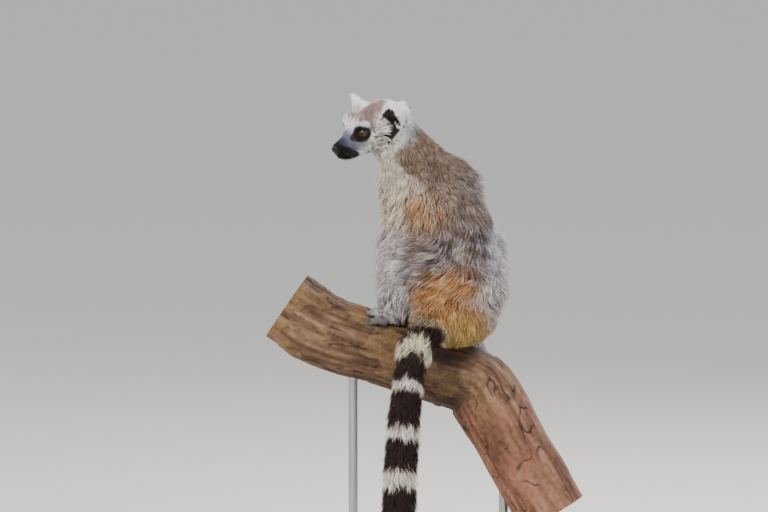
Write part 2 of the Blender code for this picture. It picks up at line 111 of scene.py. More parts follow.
LAMPS = (
    ("key_softbox", (-1.9, -2.1, 2.7), 1.3, 150.0, "#FFF3E2"),
    ("fill_softbox", (2.3, -2.4, 1.3), 2.2, 36.0, "#EEF3FF"),
    ("edge_softbox", (0.9, 2.0, 2.2), 1.2, 85.0, "#FFFFFF"),
)
for name, place, side, watts, colour in LAMPS:
    lamp = bpy.data.lights.new(name, "AREA")
    lamp.shape = "SQUARE"
    lamp.size = side
    lamp.energy = watts
    lamp.color = linear(colour)[:3]
    lamp_object = bpy.data.objects.new(name, lamp)
    lamp_object.location = place
    lamp_object.rotation_euler = (Vector(place) - CAMERA_AIM).to_track_quat("Z", "Y").to_euler()
    bpy.context.scene.collection.objects.link(lamp_object)

room = bpy.data.worlds.new("pale_room")
room.use_nodes = True
room.node_tree.nodes["Background"].inputs["Color"].default_value = linear("#E9EDF2")
room.node_tree.nodes["Background"].inputs["Strength"].default_value = 0.95
bpy.context.scene.world = room

camera = bpy.data.cameras.new("camera")
camera.sensor_width = 36.0
camera.lens = camera.sensor_width * CAMERA_AWAY / FRAME_WIDTH
camera.clip_end = 300.0
camera_object = bpy.data.objects.new("camera", camera)
back_off = Vector((0.0, -math.cos(CAMERA_TILT), math.sin(CAMERA_TILT)))
camera_object.location = CAMERA_AIM + back_off * CAMERA_AWAY
camera_object.rotation_euler = (math.pi / 2 - CAMERA_TILT, 0.0, 0.0)
bpy.context.scene.collection.objects.link(camera_object)
bpy.context.scene.camera = camera_object

# Perch branch. A cut length of a living branch, 75 to 85 mm thick and bent in the middle, with dry bark that
# cracks along its length, lifts in flat flakes and is worn smooth on the right. Both ends are sawn square.

BRANCH_STATIONS = (  # x, y, z from the seat, and the radius: the same line as the solid's
    (-0.176, 0.004, 0.044, 0.043),
    (-0.145, 0.001, 0.023, 0.0425),
    (-0.113, 0.000, 0.008, 0.041),
    (-0.060, 0.000, -0.009, 0.0395),
    (-0.006, 0.000, -0.031, 0.0365),
    (0.040, -0.001, -0.047, 0.0385),
    (0.066, -0.004, -0.082, 0.0415),
    (0.088, -0.008, -0.122, 0.0405),
    (0.112, -0.013, -0.162, 0.0405),
    (0.131, -0.017, -0.194, 0.0400),
)
BARK_RINGS = 384
BARK_SIDES = 222
SAWN_RINGS = 7
SAW_MARK, SAW_MARK_DEPTH = 0.0015, 0.0003
WORN_FROM, WORN_TO = 0.235, 0.285  # metres along the branch: old bark before, bark worn smooth after
# The marks of the bark, in metres: how wide each is, and how far it stands up or sinks in.
SWELLING, SWELLING_RISE = 0.050, 0.0016
RIPPLE, RIPPLE_RISE = 0.016, 0.0009
FLAKE, SMALL_FLAKE = 0.017, 0.006
FURROW, WORN_FURROW, FURROW_SHARPNESS = 0.0080, 0.0095, 0.048
FINE_FIBRE = 0.0032
FOLD_AT, FOLD_WAVE, FOLD_WIDTH, FOLD_DEPTH = 0.222, 0.014, 0.006, 0.0010
KNOT_RADIUS = 0.042  # of the branch, where a knot stands on it
KNOTS = (  # along, the turn round the branch in radians, width, rise
    (0.035, 3.9, 0.016, 0.005),
    (0.105, 5.3, 0.011, 0.0035),
    (0.31, 4.6, 0.012, 0.003),
)
PAINTED_SHADOW_AT, PAINTED_SHADOW_LENGTH = 0.200, 0.030  # painted shadow: the bark is darkened here as if in the shade of the rump and tail


def branch_at(x):
    """Centre and radius of the branch at x from the seat, on a smooth curve through the stations."""
    stations = BRANCH_STATIONS
    i = 0
    while i < len(stations) - 2 and x > stations[i + 1][0]:
        i += 1
    before = Vector(stations[max(i - 1, 0)])
    start = Vector(stations[i])
    end = Vector(stations[i + 1])
    after = Vector(stations[min(i + 2, len(stations) - 1)])
    span = end.x - start.x
    t = (x - start.x) / span
    start_slope = (end - before) / (end.x - before.x) * span
    end_slope = (after - start) / (after.x - start.x) * span
    point = (
        (2 * t**3 - 3 * t**2 + 1) * start
        + (t**3 - 2 * t**2 + t) * start_slope
        + (3 * t**2 - 2 * t**3) * end
        + (t**3 - t**2) * end_slope
    )
    return SEAT + Vector((x, point.y, point.z)), point.w


def on_branch(x, angle, height):
    """A point above the bark, with the way along the branch and the way out of it there.

    The angle is in degrees from the top of the branch towards +Y.
    """
    centre, radius = branch_at(x)
    step = 0.002
    along = (branch_at(x + step)[0] - branch_at(x - step)[0]).normalized()
    up = (Vector((0.0, 0.0, 1.0)) - along * along.z).normalized()
    side = up.cross(along)
    if side.y < 0:
        side.negate()
    turn = math.radians(angle)
    out = up * math.cos(turn) + side * math.sin(turn)
    return centre + out * (radius + height), along, out


def grain(points, size, seed):
    """Smooth noise from -1 to 1 at each point, with lumps of the given size in metres, the same on each run."""
    place = points / size
    cell = np.floor(place).astype(np.int64)
    part = place - cell
    part = part * part * (3 - 2 * part)
    total = np.zeros(len(points))
    for corner in itertools.product((0, 1), repeat=3):
        key = cell + corner
        mixed = key[:, 0] * 73856093 ^ key[:, 1] * 19349663 ^ key[:, 2] * 83492791 ^ seed * 49979687
        mixed = (mixed ^ (mixed >> 13)) * 1274126177 & 0xFFFFFFFF
        value = ((mixed ^ (mixed >> 16)) & 0xFFFF) / 32767.5 - 1
        total += value * np.prod(np.where(corner, part, 1 - part), axis=1)
    return total


def ease(low, high, value):
    """Rises smoothly from 0 where the value is low to 1 where it is high."""
    t = np.clip((value - low) / (high - low), 0.0, 1.0)
    return t * t * (3 - 2 * t)


def unit_rows(values):
    """Each row as a direction of length 1."""
    return values / np.maximum(np.linalg.norm(values, axis=1), 1e-6)[:, None]


def set_attribute(mesh, name, kind, values):
    """Stores one value, or one colour with its alpha, on each point of the mesh."""
    layer = mesh.attributes.new(name, kind, "POINT")
    layer.data.foreach_set("color" if kind == "FLOAT_COLOR" else "value", np.asarray(values, np.float32).ravel())


def mesh_from_arrays(name, points, corners, sizes):
    """A mesh from its points, the point index at each face corner, and each face's number of corners."""
    mesh = bpy.data.meshes.new(name)
    mesh.vertices.add(len(points))
    mesh.vertices.foreach_set("co", np.asarray(points, np.float32).ravel())
    mesh.loops.add(len(corners))
    mesh.loops.foreach_set("vertex_index", np.asarray(corners, np.int32))
    mesh.polygons.add(len(sizes))
    mesh.polygons.foreach_set("loop_start", np.concatenate([[0], np.cumsum(sizes)[:-1]]).astype(np.int32))
    mesh.update(calc_edges=True)
    mesh.shade_smooth()
    return mesh


def add_piece(name, mesh):
    """Puts a finished mesh in the scene as a piece that moves with the part."""
    piece = bpy.data.objects.new(name, mesh)
    bpy.context.scene.collection.objects.link(piece)
    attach(piece, "root")
    return piece


xs = np.linspace(BRANCH_STATIONS[0][0], BRANCH_STATIONS[-1][0], BARK_RINGS)
centres = np.array([branch_at(x)[0] for x in xs.tolist()])
run = np.concatenate([[0], np.cumsum(np.linalg.norm(np.diff(centres, axis=0), axis=1))])
even = np.linspace(0, run[-1], BARK_RINGS)  # rings at equal steps along the bent line
xs = np.interp(even, run, xs).tolist()
centres = np.array([branch_at(x)[0] for x in xs])
radii = np.array([branch_at(x)[1] for x in xs])
turns = np.linspace(0, 2 * math.pi, BARK_SIDES, endpoint=False)
tangents = unit_rows(np.gradient(centres, axis=0))
ups = unit_rows(np.array([0.0, 0.0, 1.0]) - tangents * tangents[:, 2:])
sides = np.cross(ups, tangents)
outs = ups[:, None] * np.cos(turns)[None, :, None] + sides[:, None] * np.sin(turns)[None, :, None]
around = centres[:, None] + outs * radii[:, None, None]

# Each bark point's place as if the branch were straight. Squeezed along the branch, it draws marks out that way.
along = np.broadcast_to(even[:, None], (BARK_RINGS, BARK_SIDES))
flat = np.stack([along, radii[:, None] * np.cos(turns), radii[:, None] * np.sin(turns)], axis=-1).reshape(-1, 3)
long_ways = flat * np.array([0.35, 1.0, 1.0])
flake_ways = flat * np.array([0.6, 1.0, 1.0])
rough = 1 - ease(WORN_FROM, WORN_TO, flat[:, 0] + 0.02 * grain(flat, 0.03, 3))  # 1 on the left, 0 past the bend
plate = ease(0.00, 0.07, grain(flake_ways, FLAKE, 11) + 0.45 * grain(flake_ways, SMALL_FLAKE, 12))
furrows = rough * grain(flat * np.array([0.17, 1.0, 1.0]), FURROW, 21)
furrows += (1 - rough) * grain(long_ways, WORN_FURROW, 21)
splits = np.exp(-((furrows / FURROW_SHARPNESS) ** 2)) * ease(-0.25, 0.2, grain(flat, 0.022, 22))
fine = grain(long_ways, FINE_FIBRE, 31)
knots = np.zeros(len(flat))
for place, turn, size, rise in KNOTS:  # a swelling with a sunk heart
    centre = np.array([place, KNOT_RADIUS * math.cos(turn), KNOT_RADIUS * math.sin(turn)])
    near = np.linalg.norm(flat - centre, axis=1)
    knots += rise * np.exp(-((near / size) ** 2)) - rise * 1.5 * np.exp(-((near / (size * 0.35)) ** 2))
from_fold = even[:, None] - FOLD_AT - FOLD_WAVE * np.sin(turns * 2 + 0.6)  # the skin of the branch folds at its bend
fold = np.exp(-((from_fold / FOLD_WIDTH) ** 2)).reshape(-1) * ease(-0.3, 0.3, grain(flat, 0.03, 23))
relief = (
    SWELLING_RISE * grain(flat, SWELLING, 41)
    + RIPPLE_RISE * grain(long_ways, RIPPLE, 42)
    + (0.0004 + 0.0010 * rough) * plate
    + (0.00022 + 0.0003 * rough) * fine
    - (0.0008 + 0.0007 * rough) * splits
    + knots
    - FOLD_DEPTH * fold
)
bark_points = around.reshape(-1, 3) + outs.reshape(-1, 3) * relief[:, None]

# The faces between the rings, and the two sawn ends: rings that close in on the pith, with faint saw marks.
ring_index = np.arange(BARK_RINGS * BARK_SIDES).reshape(BARK_RINGS, BARK_SIDES)
right = np.roll(ring_index, -1, axis=1)
corners = np.stack([ring_index[:-1], ring_index[1:], right[1:], right[:-1]], axis=-1).reshape(-1)
sizes = np.full((BARK_RINGS - 1) * BARK_SIDES, 4)
points = [bark_points]
pith = [np.full(len(bark_points), 1.0)]
total = len(bark_points)
for end, facing in ((0, -1), (BARK_RINGS - 1, 1)):
    rim = bark_points[ring_index[end]]
    middle = rim.mean(axis=0)
    last = ring_index[end]
    for step in range(1, SAWN_RINGS + 1):
        share = 1 - step / (SAWN_RINGS + 1)
        ring = middle + (rim - middle) * share
        ring = ring + tangents[end] * facing * SAW_MARK_DEPTH * grain(ring, SAW_MARK, 51)[:, None]
        index = np.arange(total, total + BARK_SIDES)
        strip = [last, index, np.roll(index, -1), np.roll(last, -1)]
        corners = np.concatenate([corners, np.stack(strip[::-facing], axis=-1).reshape(-1)])
        sizes = np.concatenate([sizes, np.full(BARK_SIDES, 4)])
        points.append(ring)
        pith.append(np.linalg.norm(ring - middle, axis=1))
        total += BARK_SIDES
        last = index
    hub = np.full(BARK_SIDES, total)
    strip = [last, hub, np.roll(last, -1)]
    corners = np.concatenate([corners, np.stack(strip[::-facing], axis=-1).reshape(-1)])
    sizes = np.concatenate([sizes, np.full(BARK_SIDES, 3)])
    points.append(middle[None])
    pith.append(np.zeros(1))
    total += 1
bark_mesh = mesh_from_arrays("bark", np.concatenate(points), corners, sizes)
pith = np.concatenate(pith)

# The tone of the bark, from 0 dark to 1 pale: narrow and wide streaks along it, broad patches and small specks, and a
# painted shadow where the rump and tail would shade it.
bark_tone_and_shade = 0.5 + 0.20 * grain(flat * np.array([0.16, 1, 1]), 0.0042, 61)
bark_tone_and_shade += 0.16 * grain(flat * np.array([0.22, 1, 1]), 0.013, 62) + 0.14 * grain(flat, 0.045, 63)
bark_tone_and_shade = 0.5 + (bark_tone_and_shade - 0.5) * (0.6 + 0.4 * rough)
bark_tone_and_shade += 0.08 * grain(flat, 0.0035, 64)
# Painted shadow: the bark is darkened round the middle, as if the rump and tail shaded it.
bark_tone_and_shade -= 0.15 * np.exp(-(((flat[:, 0] - PAINTED_SHADOW_AT) / PAINTED_SHADOW_LENGTH) ** 2))
spare = np.zeros(total - len(bark_points))
set_attribute(bark_mesh, "bark_tone_and_shade", "FLOAT", np.concatenate([bark_tone_and_shade, spare]))
set_attribute(bark_mesh, "pith_distance", "FLOAT", pith)
set_attribute(bark_mesh, "rough_bark", "FLOAT", np.concatenate([rough, spare]))
set_attribute(bark_mesh, "flake", "FLOAT", np.concatenate([plate, spare]))
set_attribute(bark_mesh, "crack", "FLOAT", np.concatenate([np.clip(splits + fold * 0.45, 0, 1), spare]))
shape = bmesh.new()  # to make sure that the faces point outwards
shape.from_mesh(bark_mesh)
if shape.calc_volume(signed=True) < 0:
    bmesh.ops.reverse_faces(shape, faces=shape.faces)
shape.to_mesh(bark_mesh)
shape.free()
bark = add_piece("perch_bark", bark_mesh)
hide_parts("perch_branch")

# Dry bark: pinkish brown and nearly smooth where it is worn, grey-brown with straw-coloured flakes where it is
# old, and almost black in the cracks. It is matt all over, and a little less so on the worn part.
tree, bark_material = new_material("dry_bark")
where = node(tree, "TexCoord")
rough_part, flake_part, crack_part, tone_and_shade_part = (
    node(tree, "Attribute", attribute_name=name) for name in ("rough_bark", "flake", "crack", "bark_tone_and_shade")
)
speck = node(tree, "TexNoise", {"Vector": where.outputs["Object"], "Scale": 420.0, "Detail": 4.0, "Roughness": 0.7})
worn = node(
    tree,
    "ValToRGB",
    {"Fac": tone_and_shade_part.outputs["Fac"]},
    stops=((0.22, "#40281F"), (0.42, "#654434"), (0.58, "#835C49"), (0.82, "#A9826F")),
)
old = node(
    tree,
    "ValToRGB",
    {"Fac": tone_and_shade_part.outputs["Fac"]},
    stops=((0.22, "#33241B"), (0.42, "#513B2C"), (0.58, "#6E5542"), (0.80, "#937C66")),
)
flaky = node(
    tree,
    "ValToRGB",
    {"Fac": speck.outputs["Fac"]},
    stops=((0.3, "#523F2B"), (0.5, "#7B6140"), (0.62, "#8B734A"), (0.75, "#A98F62")),
)
flakes = node(tree, "Math", {0: flake_part.outputs["Fac"], 1: tone_and_shade_part.outputs["Fac"]}, operation="MULTIPLY")
old_flaked = node(
    tree,
    "Mix",
    {"Factor": flakes.outputs[0], "A": old.outputs["Color"], "B": flaky.outputs["Color"]},
    data_type="RGBA",
)
both = node(
    tree,
    "Mix",
    {"Factor": rough_part.outputs["Fac"], "A": worn.outputs["Color"], "B": old_flaked.outputs["Result"]},
    data_type="RGBA",
)
cracked = node(
    tree,
    "Mix",
    {"Factor": crack_part.outputs["Fac"], "A": both.outputs["Result"], "B": linear("#33231C")},
    data_type="RGBA",
)
speck_bump = node(tree, "Bump", {"Height": speck.outputs["Fac"], "Strength": 0.5, "Distance": 0.0008})
shader = node(
    tree,
    "BsdfPrincipled",
    {
        "Base Color": cracked.outputs["Result"],
        "Roughness": 0.82,
        "Specular IOR Level": 0.3,
        "Normal": speck_bump.outputs["Normal"],
    },
)
node(tree, "OutputMaterial", {"Surface": shader.outputs["BSDF"]})
bark_mesh.materials.append(bark_material)

# Sawn end grain: pale yellow-brown wood, with yearly rings about 3 mm apart.
RING_SPACING = 0.003
tree, sawn_material = new_material("sawn_end_grain")
where = node(tree, "TexCoord")
pith_part = node(tree, "Attribute", attribute_name="pith_distance")
wobble = node(tree, "TexNoise", {"Vector": where.outputs["Object"], "Scale": 60.0, "Detail": 3.0})
bent = node(tree, "Math", {0: wobble.outputs["Fac"], 1: 0.004, 2: pith_part.outputs["Fac"]}, operation="MULTIPLY_ADD")
years = node(tree, "Math", {0: bent.outputs[0], 1: 2 * math.pi / RING_SPACING}, operation="MULTIPLY")
wave = node(tree, "Math", {0: years.outputs[0]}, operation="SINE")
ring_tone = node(tree, "Math", {0: wave.outputs[0], 1: 0.25, 2: 0.5}, operation="MULTIPLY_ADD")
ring_colour = node(
    tree,
    "ValToRGB",
    {"Fac": ring_tone.outputs[0]},
    stops=((0.2, "#8E6B49"), (0.5, "#BE9B6F"), (0.8, "#D3B688")),
)
shader = node(tree, "BsdfPrincipled", {"Base Color": ring_colour.outputs["Color"], "Roughness": 0.75})
node(tree, "OutputMaterial", {"Surface": shader.outputs["BSDF"]})
bark_mesh.materials.append(sawn_material)
material_index = np.zeros(len(bark_mesh.polygons), np.int32)
material_index[(BARK_RINGS - 1) * BARK_SIDES :] = 1
bark_mesh.polygons.foreach_set("material_index", material_index)

# Display stand. A black-stained board with eased edges, and two brushed steel rods with turned feet that go up
# into holes drilled in the branch. The solids have the true shape, so they only get their finish here.

# Black-stained board: the stain sinks in, so the grain still shows as a faint long figure under a satin lacquer.
tree, stained_board = new_material("black_stained_board")
where = node(tree, "TexCoord")
stretch = node(tree, "Mapping", {"Vector": where.outputs["Object"], "Scale": (9.0, 260.0, 260.0)})
figure = node(tree, "TexNoise", {"Vector": stretch.outputs["Vector"], "Scale": 1.0, "Detail": 7.0})
stain = node(
    tree,
    "ValToRGB",
    {"Fac": figure.outputs["Fac"]},
    stops=((0.35, "#15120F"), (0.52, "#241F1B"), (0.68, "#342C26")),
)
pores = node(tree, "Bump", {"Height": figure.outputs["Fac"], "Strength": 0.25, "Distance": 0.0003})
shader = node(
    tree,
    "BsdfPrincipled",
    {
        "Base Color": stain.outputs["Color"],
        "Roughness": 0.38,
        "Coat Weight": 0.3,
        "Coat Roughness": 0.25,
        "Normal": pores.outputs["Normal"],
    },
)
node(tree, "OutputMaterial", {"Surface": shader.outputs["BSDF"]})

# Brushed steel rod: drawn bar rubbed along its length, which leaves fine streaks and a soft sheen.
tree, brushed_steel = new_material("brushed_steel_bar")
where = node(tree, "TexCoord")
stretch = node(tree, "Mapping", {"Vector": where.outputs["Object"], "Scale": (900.0, 900.0, 12.0)})
streaks = node(tree, "TexNoise", {"Vector": stretch.outputs["Vector"], "Scale": 1.0, "Detail": 3.0})
steel_tone = node(tree, "ValToRGB", {"Fac": streaks.outputs["Fac"]}, stops=((0.3, "#A3A4A6"), (0.7, "#C9CACC")))
rubbed = node(tree, "MapRange", {"Value": streaks.outputs["Fac"], "To Min": 0.24, "To Max": 0.42})
shader = node(
    tree,
    "BsdfPrincipled",
    {"Base Color": steel_tone.outputs["Color"], "Metallic": 1.0, "Roughness": rubbed.outputs["Result"]},
)
node(tree, "OutputMaterial", {"Surface": shader.outputs["BSDF"]})

for name, finish in (("stand_base", stained_board), ("stand_rod_1", brushed_steel), ("stand_rod_2", brushed_steel)):
    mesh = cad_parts[name].data
    mesh.materials.clear()
    mesh.materials.append(finish)

# Skin. One unbroken hide over head, ears, neck, trunk, limbs and tail, lying under the coat by the coat's depth
# and bare on the nose, the lids, the inside of the ears, the fingers and the toes. It starts as the solids run
# together, is softened where it was faceted, sunk by the depth of the fur, and then the face is worked in.

LIMBS = ("upper_arm", "forearm", "hand", "thigh", "shin", "foot")
FLESH = ["head", "ear_left", "ear_right", "neck", "trunk"]
FLESH += [f"{limb}_{side}" for side in ("left", "right") for limb in LIMBS]
FLESH += [f"tail_{number}" for number in range(1, 6)]
EYES = ("eye_left", "eye_right")
SEAM = 0.0004  # each solid grows by this before they are run together, which closes the gaps between them
HIDE_GRID = 0.00125
BODY_TRIANGLES = 42000
FINE_MARGIN = 0.004  # how far past the head, ears, hands and feet the mesh stays fine
REGION_BLEND = 0.012  # how far the marks and coat of one part reach into the next
IRONING_ROUNDS = 26

HEAD_PLACE = Vector((-0.0737, 0.006, 0.2540))
HEAD_YAW = math.radians(30)
HEAD_PITCH = math.radians(20)
HEAD_ROLL = math.radians(-6)
facing = Matrix(((-1.0, 0.0, 0.0), (0.0, -1.0, 0.0), (0.0, 0.0, 1.0))).to_4x4()
turned = Matrix.Rotation(HEAD_YAW, 4, "Z") @ facing
turned = turned @ Matrix.Rotation(HEAD_PITCH, 4, "Y") @ Matrix.Rotation(HEAD_ROLL, 4, "X")
head_frame = Matrix.Translation(SEAT + HEAD_PLACE) @ turned  # X to the nose, Y to the animal's left, Z up
HEAD_TURN = np.array(head_frame.to_3x3())


def merged_copy(name):
    """The CAD node's mesh with its loose triangles joined, as points and faces."""
    shape = bmesh.new()
    shape.from_mesh(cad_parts[name].data)
    bmesh.ops.remove_doubles(shape, verts=shape.verts, dist=0.00001)
    shape.normal_update()
    return shape


def select_only(obj):
    """Makes one object the selected and active one, for the operators."""
    deselect_all()
    obj.select_set(True)
    bpy.context.view_layer.objects.active = obj


def read_rows(items, field, width=3, kind=np.float32):
    """One row of numbers for each of the mesh's points, edges or faces."""
    found = np.empty(len(items) * width, kind)
    items.foreach_get(field, found)
    return found.reshape(-1, width).astype(np.float64 if kind == np.float32 else kind)


def point_array(mesh):
    return read_rows(mesh.vertices, "co")


def normal_array(mesh):
    return read_rows(mesh.vertex_normals, "vector")


def neighbour_mean(values, edges):
    """For each point, the mean of the value over the points it shares an edge with."""
    count = np.bincount(edges.ravel(), minlength=len(values))[:, None]
    total = np.empty_like(values)
    for axis in range(values.shape[1]):
        total[:, axis] = np.bincount(edges[:, 0], values[edges[:, 1], axis], len(values))
        total[:, axis] += np.bincount(edges[:, 1], values[edges[:, 0], axis], len(values))
    return total / np.maximum(count, 1)


def soften(values, edges, rounds, weight=1.0):
    """Pulls each point's value towards its neighbours' mean, as many times as asked."""
    for _ in range(rounds):
        values = values + weight * 0.6 * (neighbour_mean(values, edges) - values)
    return values


def ironed(points, edges, rounds, weight):
    """Evens out facets without thinning a limb: the broad part of the smoothing's shift is given back."""
    shift = soften(points, edges, rounds, weight) - points
    return points + shift - soften(shift, edges, rounds)


def in_head(points):
    """Places in the head's own axes, in millimetres: forward, to the left, up."""
    inverse = np.array(head_frame.inverted())
    return (points @ inverse[:3, :3].T + inverse[:3, 3]) * 1000


def from_head(places):
    """The opposite of in_head: places in the world, in metres."""
    return places / 1000 @ HEAD_TURN.T + np.array(head_frame.translation)


def on_seat(points):
    """Places from the seat, in millimetres."""
    return (points - np.array(SEAT)) * 1000


all_flesh = bmesh.new()
solids = {}
for name in (*FLESH, *EYES):
    solid = merged_copy(name)
    solids[name] = BVHTree.FromBMesh(solid)
    for vert in solid.verts:
        vert.co += vert.normal * SEAM
    grown = bpy.data.meshes.new(name)
    solid.to_mesh(grown)
    solid.free()
    all_flesh.from_mesh(grown)
    bpy.data.meshes.remove(grown)
hide_mesh = bpy.data.meshes.new("hide")
all_flesh.to_mesh(hide_mesh)
all_flesh.free()
hide = bpy.data.objects.new("hide", hide_mesh)
bpy.context.scene.collection.objects.link(hide)
select_only(hide)
remesh = hide.modifiers.new("Run together", "REMESH")
remesh.mode = "VOXEL"
remesh.voxel_size = HIDE_GRID
bpy.ops.object.modifier_apply(modifier=remesh.name)

# The solids meet inside the body too, so only the largest closed skin is kept.
shape = bmesh.new()
shape.from_mesh(hide.data)
left = set(shape.verts)
bodies = []
while left:
    front = [left.pop()]
    body = set(front)
    while front:
        for edge in front.pop().link_edges:
            for vert in edge.verts:
                if vert in left:
                    left.remove(vert)
                    body.add(vert)
                    front.append(vert)
    bodies.append(body)
bodies.sort(key=len)
inner = [vert for body in bodies[:-1] for vert in body]
bmesh.ops.delete(shape, geom=inner, context="VERTS")
shape.to_mesh(hide.data)
shape.free()


def nearest_regions(points, reach):
    """For each point a row with one weight per flesh node, which says how much of the point is that node's."""
    rows = np.zeros((len(points), len(FLESH)))
    for column, name in enumerate(FLESH):
        low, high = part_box(name)
        inside = np.all((points > np.array(low) - reach) & (points < np.array(high) + reach), axis=1)
        find = solids[name].find_nearest
        for index in np.nonzero(inside)[0]:
            away = find(points[index], reach * 1.5)[3]
            if away is not None:
                rows[index, column] = math.exp(-((away / (reach * 0.5)) ** 2))
    return rows / np.maximum(rows.sum(axis=1), 1e-9)[:, None]


def kind_weights(rows, *kinds):
    """The share of each point that belongs to the nodes whose names start with one of the kinds."""
    chosen = [i for i, name in enumerate(FLESH) if name.startswith(kinds)]
    return rows[:, chosen].sum(axis=1)


# The head, ears, hands and feet keep their fine mesh, and the rest is thinned, because the coat hides it.
points = point_array(hide.data)
near_fine = np.zeros(len(points), bool)
for name in FLESH:
    if name.startswith(("head", "ear", "hand", "foot")):
        low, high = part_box(name)
        low, high = np.array(low) - FINE_MARGIN, np.array(high) + FINE_MARGIN
        near_fine |= np.all((points > low) & (points < high), axis=1)
thin_group = hide.vertex_groups.new(name="thin")
thin_group.add(np.nonzero(~near_fine)[0].tolist(), 1.0, "REPLACE")
kept_faces = int(2.0 * near_fine.sum())
thin = hide.modifiers.new("Thin", "DECIMATE")
thin.ratio = min(1.0, (kept_faces + BODY_TRIANGLES) / (2.0 * len(points)))
thin.vertex_group = thin_group.name
thin.vertex_group_factor = 100.0
thin.use_collapse_triangulate = True
bpy.ops.object.modifier_apply(modifier=thin.name)


# The face gets a mesh twice as fine round the eyes, the nose and the mouth, and fine again at the lids.
EYE_RADIUS = 7.4  # millimetres, as are the other sizes on the head
EYE_PLACE = (24.0, 13.3, 2.6)
FACE_PLACE = (48.0, 0.0, -8.0)
FACE_REACH = 34.0
FACE_STEPS = ((14.0, 30.0), (10.5, 56.0))  # how far round each eye, and from how far forward on the muzzle


def eye_centre(side):
    return np.array([EYE_PLACE[0], side * EYE_PLACE[1], EYE_PLACE[2]])


def split_faces(mesh, chosen):
    """Divides each chosen face into four, and leaves the whole mesh in triangles."""
    shape = bmesh.new()
    shape.from_mesh(mesh)
    shape.faces.ensure_lookup_table()
    edges = {edge for index in np.nonzero(chosen)[0] for edge in shape.faces[index].edges}
    bmesh.ops.subdivide_edges(shape, edges=list(edges), cuts=1, use_grid_fill=True)
    bmesh.ops.triangulate(shape, faces=shape.faces)
    shape.to_mesh(mesh)
    shape.free()


for reach, muzzle_from in FACE_STEPS:
    local = in_head(read_rows(hide.data.polygons, "center"))
    chosen = np.linalg.norm(local - np.array(FACE_PLACE), axis=1) < FACE_REACH
    chosen &= local[:, 0] > muzzle_from
    for side in (1, -1):
        chosen |= np.linalg.norm(local - eye_centre(side), axis=1) < reach
    split_faces(hide.data, chosen)

edges = read_rows(hide.data.edges, "vertices", 2, np.int32)
envelope = point_array(hide.data)
rows = nearest_regions(envelope, REGION_BLEND)
firmness = 1.0 - 0.55 * kind_weights(rows, "head") - 0.85 * kind_weights(rows, "ear")
firmness -= 0.96 * kind_weights(rows, "hand", "foot")
envelope = ironed(envelope, edges, IRONING_ROUNDS, np.clip(firmness, 0.04, 1)[:, None])
hide.data.vertices.foreach_set("co", envelope.astype(np.float32).ravel())
hide.data.update()
normals = unit_rows(soften(normal_array(hide.data), edges, 3))

# How deep the coat lies over each part, in metres. On the head it grows from the nose back to the ruff.
COAT_DEPTH = {
    "trunk": 0.0100,
    "neck": 0.0070,
    "upper_arm": 0.0060,
    "forearm": 0.0038,
    "hand": 0.0004,
    "thigh": 0.0072,
    "shin": 0.0046,
    "foot": 0.0008,
    "ear": 0.0003,
    "tail": 0.0090,
}
local = in_head(envelope)
head_depth = 0.0006 + 0.0034 * ease(38.0, 4.0, local[:, 0])
head_depth += 0.0030 * ease(6.0, -16.0, local[:, 0]) * ease(12.0, -6.0, local[:, 2])
eye_gap = np.minimum(*(np.linalg.norm(local - eye_centre(side), axis=1) for side in (1, -1)))
head_depth = 0.0004 + (head_depth - 0.0004) * ease(9.5, 15.0, eye_gap)
depth = kind_weights(rows, "head") * head_depth
for kind, value in COAT_DEPTH.items():
    depth += kind_weights(rows, kind) * value
depth = soften(depth[:, None], edges, 4)[:, 0]
points = envelope - normals * depth[:, None]
points = ironed(points, edges, 6, np.clip((depth[:, None] - 0.003) / 0.006, 0, 1))

# The face: lids round the eyes, nostrils, the groove under the nose, and the closed mouth.
LID_THICKNESS = 0.8
LID_OPENING = 42.0  # degrees off the line of sight, as are the other angles of the lids
GAZE_OUT = math.radians(36)
GAZE_UP = 0.09


def sight_line(side):
    """The way an eye looks, in the head's axes."""
    return np.array([math.cos(GAZE_OUT), side * math.sin(GAZE_OUT), GAZE_UP])


local = in_head(points)
lid_edge = np.zeros(len(points))
for side in (1, -1):
    gaze = sight_line(side)
    gaze /= np.linalg.norm(gaze)
    up = np.array([0, 0, 1.0]) - gaze * gaze[2]
    up /= np.linalg.norm(up)
    nasal = np.cross(up, gaze) * side
    away = local - eye_centre(side)
    gap = np.linalg.norm(away, axis=1)
    ray = away / gap[:, None]
    off_axis = np.degrees(np.arccos(np.clip(ray @ gaze, -1, 1)))
    lift, across = ray @ up, ray @ nasal
    spread = across / np.maximum(np.hypot(lift, across), 1e-6)
    opening = LID_OPENING + 5.0 * np.abs(spread) ** 3 + 6.0 * np.clip(spread, 0, 1) ** 6 - 2.5 * np.clip(lift, 0, 1)
    near = (gap < EYE_RADIUS + 3.5) & (off_axis < 100)
    lid = EYE_RADIUS + LID_THICKNESS * (1 - 0.35 * ease(opening + 10, opening, off_axis))
    lid += 0.35 * np.exp(-(((off_axis - opening - 9) / 5) ** 2))  # the lid's thick edge
    lid -= 0.45 * np.exp(-(((off_axis - opening - 20) / 4.5) ** 2)) * ease(-0.1, 0.3, lift)  # the crease over it
    blend = ease(92, 62, off_axis)
    shaped = gap + (lid - gap) * blend
    shaped = np.where(gap > EYE_RADIUS + 1.2, np.maximum(gap, shaped), shaped)
    shaped = np.where(off_axis < opening - 1.0, EYE_RADIUS - 1.5, shaped)
    local[near] = (eye_centre(side) + ray * shaped[:, None])[near]
    lid_edge = np.maximum(lid_edge, near * ease(opening + 7, opening + 1, off_axis))

